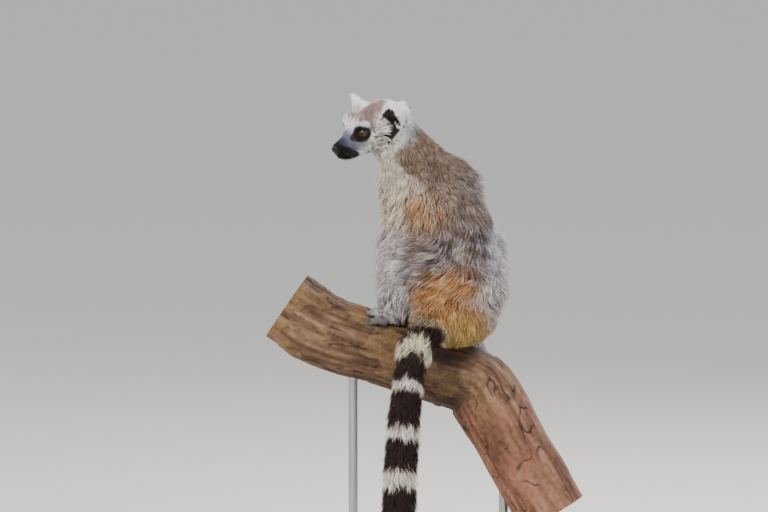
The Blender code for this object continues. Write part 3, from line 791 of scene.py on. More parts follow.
MOUTH_AT = (34.0, 45.0, 52.0, 58.0, 62.5)  # forward along the jaw
MOUTH_HEIGHT = (-21.0, -19.0, -17.2, -15.0, -12.2)
LIP_WIDTH = 0.65
NOSE_GROOVE_WIDTH, NOSE_GROOVE_DEPTH = 0.45, 0.5
NOSTRILS = (((63.0, 2.7, -6.3), 1.45, 2.0), ((60.9, 4.1, -5.6), 1.1, 1.2))  # hole and slit: place, size, depth
f, s, u = local.T  # forward, to the left, up: they change with local
mouth_line = np.exp(-(((u - np.interp(f, MOUTH_AT, MOUTH_HEIGHT)) / LIP_WIDTH) ** 2)) * ease(33.0, 37.0, f)
groove = np.exp(-((s / NOSE_GROOVE_WIDTH) ** 2)) * ease(59.0, 61.5, f) * ease(-7.0, -8.0, u)
dents = 1.0 * mouth_line + NOSE_GROOVE_DEPTH * groove
nostril = np.zeros(len(points))
for side in (1, -1):
    for place, size, sink in NOSTRILS:
        centre = np.array([place[0], side * place[1], place[2]])
        hole = np.exp(-((np.linalg.norm(local - centre, axis=1) / size) ** 2))
        dents += sink * hole
        nostril = np.maximum(nostril, hole)
head_share = kind_weights(rows, "head")
on_head = head_share > 0.5

# The skull under the fur: a fuller chin, a flatter crown, a rounder corner above the nape and a fuller ruff below.
CHIN_DROP = 1.8
CROWN_DROP = 5.5
CORNER_FORWARD, CORNER_DROP = 3.5, 3.0
RUFF_BACK = 5.5
u -= CHIN_DROP * ease(-12, -18, u) * ease(35, 43, f) * ease(63, 57, f)
crown = ease(10, 24, u) * ease(24, 12, f)
back = ease(-12, -27, f) * ease(-78, -58, f)
back *= ease(-24, -8, u) * ease(12, 0, u) * ease(45, 30, np.abs(s))
corner = np.exp(-(((f + 37) / 13) ** 2) - ((u - 15) / 10) ** 2)
push_forward = CORNER_FORWARD * corner - RUFF_BACK * back
push = np.stack([push_forward, np.zeros(len(points)), -CROWN_DROP * crown - CORNER_DROP * corner], axis=1)
local += push
points = points + push / 1000 @ HEAD_TURN.T
local -= normals @ HEAD_TURN * (dents * on_head)[:, None]
points = np.where(on_head[:, None], from_head(local), points)
hide.data.vertices.foreach_set("co", points.astype(np.float32).ravel())
hide.data.update()

# Markings, the same on hide and coat. White face with a black ring round each eye, a grey bridge and a black
# muzzle; brown-grey cap and neck; woolly grey-brown back with a rufous rump; pale limbs, and a ringed tail.

TAIL_LENGTH = 0.585
TAIL_OVER = 0.062
TAIL_HANG = 0.385
TAIL_HOOK = 0.075
TAIL_ROOT = Vector((-0.014, -0.043, 0.032))
TAIL_TURN = Vector((-0.0345, -0.0605, -0.020))
TAIL_LOW = Vector((-0.0490, -0.0640, -0.020 - TAIL_HANG))
TAIL_HALF_WIDTH = 0.016
TAIL_STEPS = 400
TAIL_STRIDE = 4  # every fourth step is near enough for the markings
DARK_RINGS = [(-0.02, 0.0305), (0.0445, 0.0740), (0.0840, 0.1270), (0.1420, 0.1800), (0.1985, 0.2370)]
RING_STEP, RING_LENGTH = 0.0545, 0.0350  # the rings below them follow at this step, and get closer and shorter
while DARK_RINGS[-1][1] < 0.50:
    ring_start = DARK_RINGS[-1][0] + RING_STEP - 0.0012 * (len(DARK_RINGS) - 5)
    DARK_RINGS.append((ring_start, ring_start + RING_LENGTH - 0.0010 * (len(DARK_RINGS) - 5)))
DARK_RINGS[-1] = (DARK_RINGS[-1][0], TAIL_LENGTH + 0.02)  # the tip is dark
RING_EDGE = 0.0012
RING_ARCH = ((0.02, 0.05, 0.09, 0.15), (0.012, 0.012, 0.006, 0.003))  # how far a ring's sides hang, down the tail


def tail_point(s):
    """Centre line of the tail, s metres from its root: out over the branch, straight down, then a hook."""
    if s < TAIL_OVER:
        t = s / TAIL_OVER
        point = TAIL_ROOT.lerp(TAIL_TURN, t) + Vector((0.0, -0.008, 0.007)) * (4 * t * (1 - t))
    elif s < TAIL_OVER + TAIL_HANG:
        t = (s - TAIL_OVER) / TAIL_HANG
        point = TAIL_TURN.lerp(TAIL_LOW, t)
        point.x = TAIL_LOW.x + (TAIL_TURN.x - TAIL_LOW.x) * (1 - t) ** 4
    else:
        angle = (s - TAIL_OVER - TAIL_HANG) / TAIL_HOOK
        round_off = 1 - math.cos(angle)
        point = TAIL_LOW + Vector((-round_off, -0.15 * round_off, -math.sin(angle))) * TAIL_HOOK
    return SEAT + point


tail_places = np.linspace(0, TAIL_LENGTH, TAIL_STEPS)
tail_line = np.array([tail_point(s) for s in tail_places.tolist()])
tail_ways = unit_rows(np.gradient(tail_line, axis=0))


def along_tail(points):
    """The nearest step of the tail's centre line to each point."""
    nearest = np.zeros(len(points), np.int64)
    batch = 20000  # points at a time, to spare memory
    for start in range(0, len(points), batch):
        block = points[start : start + batch]
        gaps = ((block[:, None] - tail_line[None, ::TAIL_STRIDE]) ** 2).sum(axis=2)
        nearest[start : start + batch] = gaps.argmin(axis=1) * TAIL_STRIDE
    return nearest


def tint(code):
    return np.array(linear(code)[:3])


def lay(colours, mask, code):
    """Lays one more colour over the others, as strongly as the mask says."""
    return colours + np.clip(mask, 0, 1)[:, None] * (tint(code) - colours)


def paint(count, base, *layers):
    """A base colour for each point, with layers laid over it in turn: each is a mask and a colour."""
    colours = np.tile(tint(base), (count, 1))
    for mask, code in layers:
        colours = lay(colours, mask, code)
    return colours


def oval(points, centre, radii, soft):
    """1 inside an oval, 0 outside it, with an edge as soft as asked."""
    reach = np.sqrt((((points - np.array(centre)) / np.array(radii)) ** 2).sum(axis=1))
    return ease(1 + soft, 1 - soft, reach)


def tail_colours(points):
    """White and near-black rings with slightly ragged edges, arched near the root, and creamy by the rump."""
    nearest = along_tail(points)
    beside = np.abs(points[:, 0] - tail_line[nearest, 0]) / TAIL_HALF_WIDTH
    s = tail_places[nearest] + 0.0018 * grain(points, 0.006, 71)
    s -= np.interp(s, *RING_ARCH) * np.minimum(beside**2, 1.3)
    paler = 0.5 * ease(-0.2, 0.8, grain(points, 0.01, 72))
    creamy = 0.7 * ease(0.075, 0.045, s)
    colours = paint(len(points), "#F0E9DD", (paler, "#FBF8F2"), (creamy, "#E3DBB9"))
    for ring_start, ring_end in DARK_RINGS:
        inside = ease(ring_start - RING_EDGE, ring_start + RING_EDGE, s)
        inside *= ease(ring_end + RING_EDGE, ring_end - RING_EDGE, s)
        colours = lay(colours, inside, "#2B1714")
    return colours


CAP_EDGE = ((0.0, 8.0, 14.0, 21.0, 27.0), (15.0, 14.0, 13.0, 17.0, 18.2))  # forward, and the cap's lower edge there


def head_colours(points):
    """The head's marks, the same on both sides: f, s and u are millimetres forward, out to the side and up."""
    wander = np.stack([grain(points, 0.005, seed) for seed in (81, 82, 83)], axis=1)
    place = in_head(points) + wander * 0.9  # each edge wanders by up to 0.9 mm
    mirrored = place * np.array([1.0, 0.0, 1.0]) + np.abs(place[:, 1:2]) * np.array([0.0, 1.0, 0.0])
    f, s, u = mirrored.T
    cheek = ease(0, -12, u) * ease(36, 22, f)
    # Painted shade: dark flecks on the cheek, standing in for the shade among sunlit hairs.
    shade_flecks = ease(0.0, 0.45, grain(points, 0.0026, 84)) * ease(9, 1, u) * ease(29, 20, f) * ease(-16, -4, f)
    cap_edge = np.interp(f, *CAP_EDGE)
    cap = ease(27.0, 23.5, f) * ease(cap_edge - 1.5, cap_edge + 1.5, u) * ease(-34, -20, f)
    cap *= ease(0, -6, s - 25.0 - 0.9 * f)
    strip = ease(5.2, 3.0, np.abs(f - 13.5)) * ease(1, 5, u) * ease(20, 16, u) * ease(13, 17, s)
    nape = ease(-40, -48, f + 0.30 * u)
    bridge = ease(33, 41, f) * ease(-21, -15, u)
    lower_bridge = ease(41, 49, f) * ease(-20, -15, u)
    under_eye = oval(mirrored, (32.0, 14.0, -6.5), (11.0, 10.0, 8.0), 0.5)
    patch = oval(mirrored, (30.0, 16.8, 3.8), (12.4, 9.0, 10.4), 0.16)
    front_taper = oval(mirrored, (38.0, 13.0, 1.6), (7.5, 5.5, 5.0), 0.25)
    snout = ease(-1.5, 1.5, -0.3 - (56.5 - f) * 0.86 - u) * ease(33.5, 37.0, f)
    snout = np.maximum(snout, ease(55.5, 58.5, f)) * ease(-24.6, -22.8, u + 0.25 * np.clip(f - 50, 0, 9))
    chin_edge = np.interp(f, MOUTH_AT, MOUTH_HEIGHT) - 4.2
    return paint(
        len(points),
        "#F8F7FC",
        (0.7 * cheek, "#C3C5B0"),
        (0.95 * shade_flecks, "#4C4D46"),
        (cap, "#AC938D"),
        (0.6 * cap * ease(0.1, 0.8, grain(points, 0.0035, 85)), "#846E68"),
        (0.9 * strip, "#8A6A50"),
        (nape, "#8A7467"),
        (bridge * 0.95, "#7A7E92"),
        (lower_bridge, "#4C5268"),
        (0.8 * ease(47, 56, f), "#23252F"),
        (0.75 * under_eye, "#6C7078"),
        (np.maximum(patch, 0.9 * front_taper), "#12100F"),
        (snout, "#070708"),
        (ease(chin_edge + 0.6, chin_edge - 0.6, u) * ease(34, 37, f), "#D8D3C4"),
    )


LEG_JOINTS = {  # from the seat, in metres: the knee and the ankle
    "left": ((-0.0525, 0.074, 0.112), (-0.046, 0.022, 0.045)),
    "right": ((0.0580, 0.072, 0.108), (0.030, 0.032, 0.016)),
}


def body_colours(points, rows):
    """The marks of everything behind the head: x, y and z are millimetres from the seat, a little wandering."""
    x, y, z = (on_seat(points) + 5.0 * np.stack([grain(points, 0.014, seed) for seed in (91, 92, 93)], axis=1)).T
    broad = grain(points, 0.012, 94)
    small = grain(points * np.array([0.6, 1, 1.2]), 0.0052, 95)
    strokes = grain(points * np.array([1.0, 1.0, 0.45]), 0.0065, 96)
    right_shoulder = ease(-8, 14, x) * ease(118, 150, z)
    saddle = np.exp(-(((x + 22) / 27) ** 2) - ((z - 158) / 25) ** 2)
    cream = ease(-36, -50, x) * ease(118, 140, z)
    pale_flank = ease(42, 58, np.abs(x - 4)) * ease(140, 118, z)
    dome_reach = np.hypot((x - 8) / 51, (np.maximum(z, 22) - 22) / 64)
    dome = ease(1.25, 0.78, dome_reach + 0.08 * small) * ease(12, -4, y)
    colours = paint(
        len(points),
        "#80767A",
        (0.85 * ease(0.0, 0.5, small), "#ADA4A4"),
        (0.90 * ease(-0.1, -0.5, small), "#463C3D"),
        (0.45 * ease(0.0, 0.8, broad), "#9A8270"),
        (0.65 * right_shoulder, "#8D7B70"),
        (1.1 * saddle * np.clip(0.75 + 0.4 * strokes, 0, 1), "#C29B6E"),
        (0.6 * saddle * ease(0.1, 0.6, strokes), "#BC834E"),
        (0.9 * cream, "#DCCFBB"),
        (0.85 * pale_flank, "#C9C4C9"),
        (0.95 * dome, "#AD7C4B"),
        (0.6 * dome * ease(0.1, 0.6, small), "#CFA873"),
        (0.6 * dome * ease(-0.1, -0.6, small), "#74502F"),
        (0.75 * dome * ease(42, 12, z + 0.5 * np.abs(x - 22) - 8), "#C6A560"),
        (ease(14, 34, y), "#DDD7CC"),
    )
    limb = kind_weights(rows, "upper_arm", "forearm", "thigh", "shin")
    outer = paint(
        len(points),
        "#CBC6CC",
        (0.5 * ease(-0.2, 0.6, small), "#E0DDE1"),
        (0.60 * ease(-0.1, -0.6, small), "#928B90"),
        (0.65 * ease(20, 60, x), "#DCCFC8"),
        (cream * 0.9, "#DCCFBB"),
    )
    colours = colours + np.clip(limb * 1.15, 0, 1)[:, None] * (outer - colours)
    throat = ease(6, 16, (-(x + 35) * 0.74 - (z - 216) * 0.67))
    collar = paint(
        len(points),
        "#8D7869",
        (0.5 * ease(-0.1, 0.7, small), "#AD9A8C"),
        (0.5 * ease(-0.1, -0.7, small), "#6A584D"),
        (np.maximum(throat, ease(14, 30, y)), "#D9D3C6"),
        (ease(-3, 3, z - 241 - 1.03 * (x + 33)) * ease(-27, -33, x), "#EFEDEE"),  # the foot of the ruff
    )
    colours = colours + np.clip(kind_weights(rows, "neck") * 1.1, 0, 1)[:, None] * (collar - colours)
    ankles = [1000 * np.array(ankle) for _, ankle in LEG_JOINTS.values()]
    from_ankle = np.minimum(*(np.linalg.norm(np.stack([x, y, z], axis=1) - ankle, axis=1) for ankle in ankles))
    mitts = paint(
        len(points), "#EDE6E2", (ease(51, 59, from_ankle), "#85838A"), (kind_weights(rows, "hand"), "#A19B9C")
    )
    colours = colours + kind_weights(rows, "hand", "foot")[:, None] * (mitts - colours)
    rough_x, rough_z = x + 2.0 * small, z + 2.0 * grain(points, 0.003, 97)
    from_tail = np.hypot((rough_x + 21) / 25, (rough_z - 6) / 27) + 2 * ease(-12, -2, y)
    colours = lay(colours, ease(1.32, 1.16, from_tail) * (1 - limb), "#DCC9A6")
    return lay(colours, ease(1.07, 0.93, from_tail), "#41251D")


EAR_ROOT = (-4.5, 23.5, -3.0)  # in the head's axes, millimetres, on the left
EAR_TIP = (-1.5, 43.0, 32.5)
EAR_OUT = (0.65, 0.65, -0.25)
HOLLOW_MIDDLE = ((-12, -7, -2, 4, 11, 33), (-1.5, -1.0, 0.5, 3.0, 0.5, -2.0))  # up the ear, and the hollow's middle
HOLLOW_HALF = ((-14, -10, -6, -2, 4, 11, 26, 36, 42), (0.5, 2.5, 5, 8, 11.5, 11, 9.5, 6, 1))  # and half its width


def in_ear(points, side):
    """Places in one ear's axes, in millimetres: out of its hollow, back across it, and from root to tip."""
    flip = np.array([1.0, side, 1.0])
    root = np.array(EAR_ROOT) * flip
    up = np.array(EAR_TIP) * flip - root
    up /= np.linalg.norm(up)
    out = np.array(EAR_OUT) * flip
    out -= up * (out @ up)
    out /= np.linalg.norm(out)
    axes = np.stack([out, np.cross(up, out) * side, up])
    return (in_head(points) - root) @ axes.T, axes


def ear_colours(points):
    """White outside, with a few grey hairs."""
    return paint(len(points), "#F6F5FB", (0.6 * ease(0.2, 0.6, grain(points, 0.0030, 101)), "#9E9CA6"))


def coat_colours(points, rows):
    """The colour of the coat at each point, from the parts of the animal that the point belongs to."""
    colours = body_colours(points, rows)
    for kind, markings in (("head", head_colours), ("ear", ear_colours), ("tail", tail_colours)):
        share = kind_weights(rows, kind)
        touched = share > 0.001
        if touched.any():
            mixed = colours[touched]
            colours[touched] = mixed + share[touched, None] * (markings(points[touched]) - mixed)
    return colours


ear_hollow = np.zeros(len(points))
ear_front = np.zeros(len(points))
world_normals = normal_array(hide.data)
for side, name in ((1, "ear_left"), (-1, "ear_right")):
    place, axes = in_ear(points, side)
    facing_out = (world_normals @ HEAD_TURN) @ axes[0]
    from_middle = np.abs(place[:, 1] - np.interp(place[:, 2], *HOLLOW_MIDDLE))
    hollow_reach = from_middle / np.interp(place[:, 2], *HOLLOW_HALF)
    inside = ease(0.0, 0.35, facing_out) * ease(1.05, 0.85, hollow_reach)
    near = np.clip(1.3 * rows[:, FLESH.index(name)] + 0.8 * (np.abs(place[:, 0]) < 17) * (head_share > 0.2), 0, 1)
    ear_hollow = np.maximum(ear_hollow, inside * near)
    rim = near * ease(0.6, 0.9, hollow_reach) * ease(1.9, 1.3, hollow_reach) * ease(-4, 4, place[:, 2])
    ear_front = np.maximum(ear_front, rim)

ear_hollow = ease(0.25, 0.6, soften(ear_hollow[:, None], edges, 8)[:, 0])
hide_colours = coat_colours(points, rows)
# The ear's hollow is laid near black: its dark bare skin, deepened with painted shade inside the hollow.
hide_colours = lay(hide_colours, ear_hollow, "#0E0B0B")
hide_colours = lay(hide_colours, lid_edge, "#0B0908")
hide_colours = lay(hide_colours, np.maximum(mouth_line, nostril) * on_head, "#050506")
PALM = 0.028  # metres from the wrist or ankle to where the bare ends begin, and to where they are quite bare
FINGERS = 0.046
finger_end = np.zeros(len(points))
for side in ("left", "right"):
    for limb, before in (("hand", "forearm"), ("foot", "shin")):
        column = rows[:, FLESH.index(f"{limb}_{side}")]
        low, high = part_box(f"{before}_{side}")
        middle = (Vector(low) + Vector(high)) / 2
        from_wrist = np.linalg.norm(points - np.array([middle.x, middle.y, low.z]), axis=1)
        finger_end = np.maximum(finger_end, column * ease(PALM, FINGERS, from_wrist))
hide_colours = lay(hide_colours, 0.75 * finger_end, "#5E5858")
nose_pad = ease(58.5, 60.5, f) * ease(-13.5, -11.5, u) * on_head
bare = np.clip(lid_edge + ear_hollow + nose_pad + nostril * on_head + 0.6 * finger_end, 0, 1)
furry = 1 - bare
# Painted shade: the hide is a third darker wherever fur covers it, as the shade of the coat lying over the skin.
SHADE_UNDER_FUR = 0.35
shaded = hide_colours * (1 - SHADE_UNDER_FUR * furry)[:, None]
set_attribute(hide.data, "marking_and_shade", "FLOAT_COLOR", np.concatenate([shaded, np.ones((len(points), 1))], axis=1))
set_attribute(hide.data, "bare", "FLOAT", bare)
set_attribute(hide.data, "nose", "FLOAT", nose_pad)
hide.data.shade_smooth()
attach(hide, "root")
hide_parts(*FLESH)

# Hide: living skin under fur. It is dull with a fine cross-hatched relief, finer and closer on the bare parts,
# and the nose is black, pebbled and always a little wet.
tree, hide_material = new_material("living_hide")
where = node(tree, "TexCoord")
marking_and_shade = node(tree, "Attribute", attribute_name="marking_and_shade")
bare_part = node(tree, "Attribute", attribute_name="bare")
nose_part = node(tree, "Attribute", attribute_name="nose")
hairs = node(tree, "TexNoise", {"Vector": where.outputs["Object"], "Scale": 900.0, "Detail": 3.0})
pebbles = node(tree, "TexVoronoi", {"Vector": where.outputs["Object"], "Scale": 1500.0})
hair_tone = node(tree, "MapRange", {"Value": hairs.outputs["Fac"], "To Min": 0.72, "To Max": 1.28})
toned = node(
    tree,
    "Mix",
    {"Factor": 1.0, "A": marking_and_shade.outputs["Color"], "B": hair_tone.outputs["Result"]},
    data_type="RGBA",
    blend_type="MULTIPLY",
)
relief_mix = node(
    tree,
    "Mix",
    {"Factor": bare_part.outputs["Fac"], "A": hairs.outputs["Fac"], "B": pebbles.outputs["Distance"]},
)
relief_bump = node(tree, "Bump", {"Height": relief_mix.outputs["Result"], "Strength": 0.6, "Distance": 0.0004})
wetness = node(tree, "MapRange", {"Value": nose_part.outputs["Fac"], "To Min": 0.68, "To Max": 0.28})
shader = node(
    tree,
    "BsdfPrincipled",
    {
        "Base Color": toned.outputs["Result"],
        "Roughness": wetness.outputs["Result"],
        "Specular IOR Level": 0.35,
        "Normal": relief_bump.outputs["Normal"],
    },
)
node(tree, "OutputMaterial", {"Surface": shader.outputs["BSDF"]})
hide.data.materials.clear()
hide.data.materials.append(hide_material)

# Lie of the coat. Hair runs back from the nose over the head, down the neck and back, along each limb to the
# fingers and toes, and down the tail. It swirls a little over the middle of the back, where it is woolly.

ARM_JOINTS = {  # from the seat, in metres: the shoulder, the elbow and the wrist
    "left": ((-0.0520, 0.006, 0.186), (-0.050, 0.058, 0.130), (-0.038, 0.052, 0.036)),
    "right": ((0.0315, 0.009, 0.178), (0.040, 0.062, 0.126), (0.006, 0.056, 0.026)),
}
PARTING = (74.0, 0.0, -4.0)  # on the head, in millimetres: the hair runs away from here, just before the nose
SPINE = ((0.0, 0.06, 0.13, 0.19, 0.24), (0.008, 0.006, -0.010, -0.030, -0.052))  # height, and the spine's x there
lie = {name: np.zeros((len(points), 3)) for name in FLESH}
back_from_nose = unit_rows(local - np.array(PARTING))
brow = np.exp(-(((f - 29) / 6) ** 2) - ((np.abs(s) - 10) / 11) ** 2) * ease(11, 16, u)
brow *= head_share
back_from_nose += brow[:, None] * np.array([0.3, 0.0, 1.1])  # the brow's hair stands up
lie["head"][:] = back_from_nose @ HEAD_TURN.T
for side, name in ((1, "ear_left"), (-1, "ear_right")):
    place, axes = in_ear(points, side)
    to_tip = np.tile(axes[2], (len(points), 1)) * 0.8 + 0.2 * axes[0]
    to_tip += (ease(5, -4, place[:, 1]) * ease(1.0, -1.0, place[:, 2] / 30))[:, None] * axes[1] * 1.3
    lie[name][:] = to_tip @ HEAD_TURN.T

# On the body the hair fans down from the spine, and swirls over the woolly middle of the back.
seated = on_seat(points) / 1000
swirl = np.stack([grain(points, 0.022, seed) for seed in (111, 112, 113)], axis=1)
spine_x = np.interp(seated[:, 2], *SPINE)
fan = np.stack([(seated[:, 0] - spine_x) * 8.0, np.zeros(len(points)), np.full(len(points), -1.0)], axis=1)
woolly = ease(0.050, 0.085, seated[:, 2]) * ease(0.160, 0.115, seated[:, 2])
fan += woolly[:, None] * np.array([-0.9, 0.0, 0.45])
lie["trunk"][:] = fan + swirl * np.array([1.0, 0.4, 0.7]) * (0.30 + 1.1 * woolly)[:, None]
lie["neck"][:] = np.array([0.42, -0.12, -0.90]) + 0.25 * swirl
for side in ("left", "right"):
    shoulder, elbow, wrist = (np.array(joint) for joint in ARM_JOINTS[side])
    knee, ankle = (np.array(joint) for joint in LEG_JOINTS[side])
    lie[f"upper_arm_{side}"][:] = (elbow - shoulder) / 0.07 + 0.25 * swirl
    lie[f"forearm_{side}"][:] = (wrist - elbow) / 0.09 + 0.15 * swirl
    lie[f"hand_{side}"][:] = seated - wrist - np.array([0, 0, 0.01])
    lie[f"thigh_{side}"][:] = np.array([0.0, 0.25, -1.0]) + 0.35 * swirl
    lie[f"shin_{side}"][:] = (ankle - knee) / 0.08 + 0.20 * swirl
    lie[f"foot_{side}"][:] = seated - ankle - np.array([0, -0.01, 0.01])
tail_step = along_tail(points)
tail_s = tail_places[tail_step]
for number in range(1, 6):
    lie[f"tail_{number}"][:] = tail_ways[tail_step]


def laid_down(ways, out):
    """The ways with their rise off the surface taken away."""
    return ways - out * (ways * out).sum(axis=1)[:, None]


flow = np.zeros((len(points), 3))
for column, name in enumerate(FLESH):
    flow += rows[:, column : column + 1] * unit_rows(lie[name])
hide_normals = normal_array(hide.data)
flow = soften(laid_down(flow, hide_normals), edges, 5)
flow = unit_rows(laid_down(flow, hide_normals))

# Coat. Each tuft is a few hairs held together: a flat three-sided spike that leaves the hide at a low angle and
# then follows the body, thin enough to overlap its neighbours many times. Tips draw together in small locks.

HAIR = {  # length, width and lift of the tip over the hide, in millimetres
    "trunk": (23.0, 1.10, 10.5),
    "neck": (17.0, 0.95, 7.4),
    "upper_arm": (15.0, 0.95, 6.6),
    "forearm": (10.0, 0.75, 4.0),
    "hand": (2.6, 0.34, 0.6),
    "thigh": (17.0, 0.95, 7.8),
    "shin": (10.5, 0.75, 4.8),
    "foot": (3.4, 0.40, 1.0),
    "ear": (3.6, 0.45, 1.2),
    "tail": (19.0, 0.90, 9.8),
}
hair = np.zeros((len(points), 3))
for kind, sizes in HAIR.items():
    hair += kind_weights(rows, kind)[:, None] * np.array(sizes)
ruff = ease(8.0, -18.0, f) * ease(20.0, 4.0, u)
head_length = 1.8 + 2.8 * ease(46, 26, f) + 3.2 * ease(24, 4, f) + 4.0 * ruff
head_length = (head_length + 5.0 * brow) * (1 - 0.62 * ease(15.5, 9.5, eye_gap))
head_width = 0.26 + 0.45 * np.clip((head_length - 1.8) / 9, 0, 1)
head_lift = depth * 1000 * 1.12 + 0.15 + 3.6 * brow + 1.0 * ruff
hair += head_share[:, None] * np.stack([head_length, head_width, head_lift], axis=1)

# The tail's first white ring flares like a skirt, the hair round its root lies close, and a fringe stands at the
# front of each ear. The bare fingers and toes thin out.
skirt = kind_weights(rows, "tail") * ease(0.006, 0.014, tail_s) * ease(0.046, 0.034, tail_s)
hair += skirt[:, None] * np.array([5.0, 0.05, 4.5])
tail_base = np.exp(-((np.linalg.norm(seated - np.array([-0.018, -0.05, 0.018]), axis=1) / 0.026) ** 4))
tail_base *= 1 - kind_weights(rows, "tail")
hair[:, 0] *= 1 - 0.55 * tail_base
hair[:, 2] *= 1 - 0.40 * tail_base
fringe = ear_front * (1 - ear_hollow)
hair += fringe[:, None] * np.array([6.5, 0.05, 1.2])
hair *= (1 - 0.5 * finger_end)[:, None]
density = np.clip(furry - 0.15, 0, 1) / np.maximum(hair[:, 0] * hair[:, 1], 0.5)

PIECE_OF = {"ear_left": "ears", "ear_right": "ears", "neck": "neck"}
for side in ("left", "right"):
    for limb in ("upper_arm", "forearm", "hand"):
        PIECE_OF[f"{limb}_{side}"] = f"arm_{side}"
    for limb in ("thigh", "shin", "foot"):
        PIECE_OF[f"{limb}_{side}"] = f"leg_{side}"
PIECE_OF.update({"tail_1": "tail_root", "tail_2": "tail_upper", "tail_3": "tail_upper"})
PIECE_OF.update({"tail_4": "tail_lower", "tail_5": "tail_lower"})
COATS = {  # tufts, rings in each, how far tips draw together, metres between locks, how uneven locks are, slot
    "face": (15000, 2, 0.30, 0.0022, 0.03, "coat_white"),
    "nape": (10000, 2, 0.45, 0.0040, 0.06, "coat_white"),
    "ears": (4500, 2, 0.35, 0.0030, 0.04, "coat_white"),
    "neck": (8500, 2, 0.50, 0.0055, 0.09, "coat_brown_grey"),
    "shoulders": (10500, 3, 0.50, 0.0065, 0.10, "coat_grey"),
    "back": (10500, 3, 0.80, 0.0095, 0.15, "coat_grey"),
    "rump": (10500, 3, 0.50, 0.0065, 0.10, "coat_grey"),
    "arm_left": (7500, 2, 0.50, 0.0060, 0.16, "coat_grey"),
    "arm_right": (7500, 2, 0.50, 0.0060, 0.16, "coat_grey"),
    "leg_left": (9500, 2, 0.55, 0.0060, 0.17, "coat_pale_grey"),
    "leg_right": (9500, 2, 0.55, 0.0060, 0.15, "coat_pale_grey"),
    "tail_root": (5000, 2, 0.45, 0.0050, 0.08, "coat_tail"),
    "tail_upper": (9500, 2, 0.45, 0.0050, 0.08, "coat_tail"),
    "tail_lower": (9500, 2, 0.45, 0.0050, 0.08, "coat_tail"),
}
SHOULDERS_FROM, BACK_FROM = 128, 66  # heights over the seat, and below, how far forward the face begins, in mm
FACE_FROM = 8
triangles = read_rows(hide.data.polygons, "vertices", 3, np.int32)
first, second, third = (points[triangles[:, corner]] for corner in range(3))
areas = 0.5 * np.linalg.norm(np.cross(second - first, third - first), axis=1)
middles = (first + second + third) / 3
main_node = rows[triangles].sum(axis=1).argmax(axis=1)
piece_names = np.array([PIECE_OF.get(FLESH[column], FLESH[column]) for column in main_node], dtype="<U12")
heights = on_seat(middles)[:, 2]
piece_names[(piece_names == "trunk") & (heights > SHOULDERS_FROM)] = "shoulders"
piece_names[(piece_names == "trunk") & (heights > BACK_FROM)] = "back"
piece_names[piece_names == "trunk"] = "rump"
piece_names[(piece_names == "head") & (in_head(middles)[:, 0] > FACE_FROM)] = "face"
piece_names[piece_names == "head"] = "nape"

hide_shape = bmesh.new()
hide_shape.from_mesh(hide.data)
hide_tree = BVHTree.FromBMesh(hide_shape)
hide_shape.free()


def at_roots(values, picked, share):
    """A value at each root, mixed from the three corners of its triangle."""
    corners = values[triangles[picked]]
    if corners.ndim == 2:
        corners = corners[:, :, None]
    return (corners * share[:, :, None]).sum(axis=1)


def onto_hide(places):
    """The nearest place on the hide to each place, and the way out of the hide there."""
    found = np.empty((len(places), 3))
    out = np.empty((len(places), 3))
    find = hide_tree.find_nearest
    for index, place in enumerate(places.tolist()):
        spot, way, _, _ = find(place)
        found[index] = spot
        out[index] = way
    return found, out


def unwrapped(chosen):
    """Unwraps the chosen triangles of the hide by their own shape, and gives each corner's place on the map."""
    keep = np.unique(triangles[chosen])
    renumber = np.zeros(len(points), np.int64)
    renumber[keep] = np.arange(len(keep))
    corners = renumber[triangles[chosen]].ravel()
    sheet = bpy.data.objects.new("sheet", mesh_from_arrays("sheet", points[keep], corners, [3] * chosen.sum()))
    sheet.data.uv_layers.new(name="OFBake")
    bpy.context.scene.collection.objects.link(sheet)
    select_only(sheet)
    bpy.ops.object.mode_set(mode="EDIT")
    bpy.ops.mesh.select_all(action="SELECT")
    bpy.ops.uv.smart_project(angle_limit=math.radians(70), island_margin=0.004)
    bpy.ops.object.mode_set(mode="OBJECT")
    places = np.empty(len(sheet.data.loops) * 2, np.float32)
    sheet.data.uv_layers["OFBake"].data.foreach_get("uv", places)
    old_mesh = sheet.data
    bpy.data.objects.remove(sheet)
    bpy.data.meshes.remove(old_mesh)
    return places.reshape(-1, 3, 2).astype(np.float64)


# Fur. Hair is matt with a faint sheen along its length, darker at the root where light doesn't reach, and
# paler at the tip. The streaks are a few hairs wide, about a quarter of a millimetre.
tree, fur_material = new_material("lemur_fur")
hair_colour = node(tree, "Attribute", attribute_name="marking_and_shade")
along_hair = node(tree, "Attribute", attribute_name="along_hair")
where = node(tree, "TexCoord")
streaks = node(tree, "TexNoise", {"Vector": where.outputs["Object"], "Scale": 1400.0, "Detail": 2.0})
root_shade = node(
    tree,
    "MapRange",
    {"Value": along_hair.outputs["Fac"], "From Max": 0.75, "To Min": 0.50, "To Max": 1.06},
)
streak_tone = node(tree, "MapRange", {"Value": streaks.outputs["Fac"], "To Min": 0.80, "To Max": 1.20})
tone = node(tree, "Math", {0: root_shade.outputs["Result"], 1: streak_tone.outputs["Result"]}, operation="MULTIPLY")
fur_colour = node(
    tree,
    "Mix",
    {"Factor": 1.0, "A": hair_colour.outputs["Color"], "B": tone.outputs["Value"]},
    data_type="RGBA",
    blend_type="MULTIPLY",
)
shader = node(
    tree,
    "BsdfPrincipled",
    {
        "Base Color": fur_colour.outputs["Result"],
        "Roughness": 0.75,
        "Specular IOR Level": 0.20,
        "Sheen Weight": 0.06,
        "Sheen Roughness": 0.5,
    },
)
node(tree, "OutputMaterial", {"Surface": shader.outputs["BSDF"]})


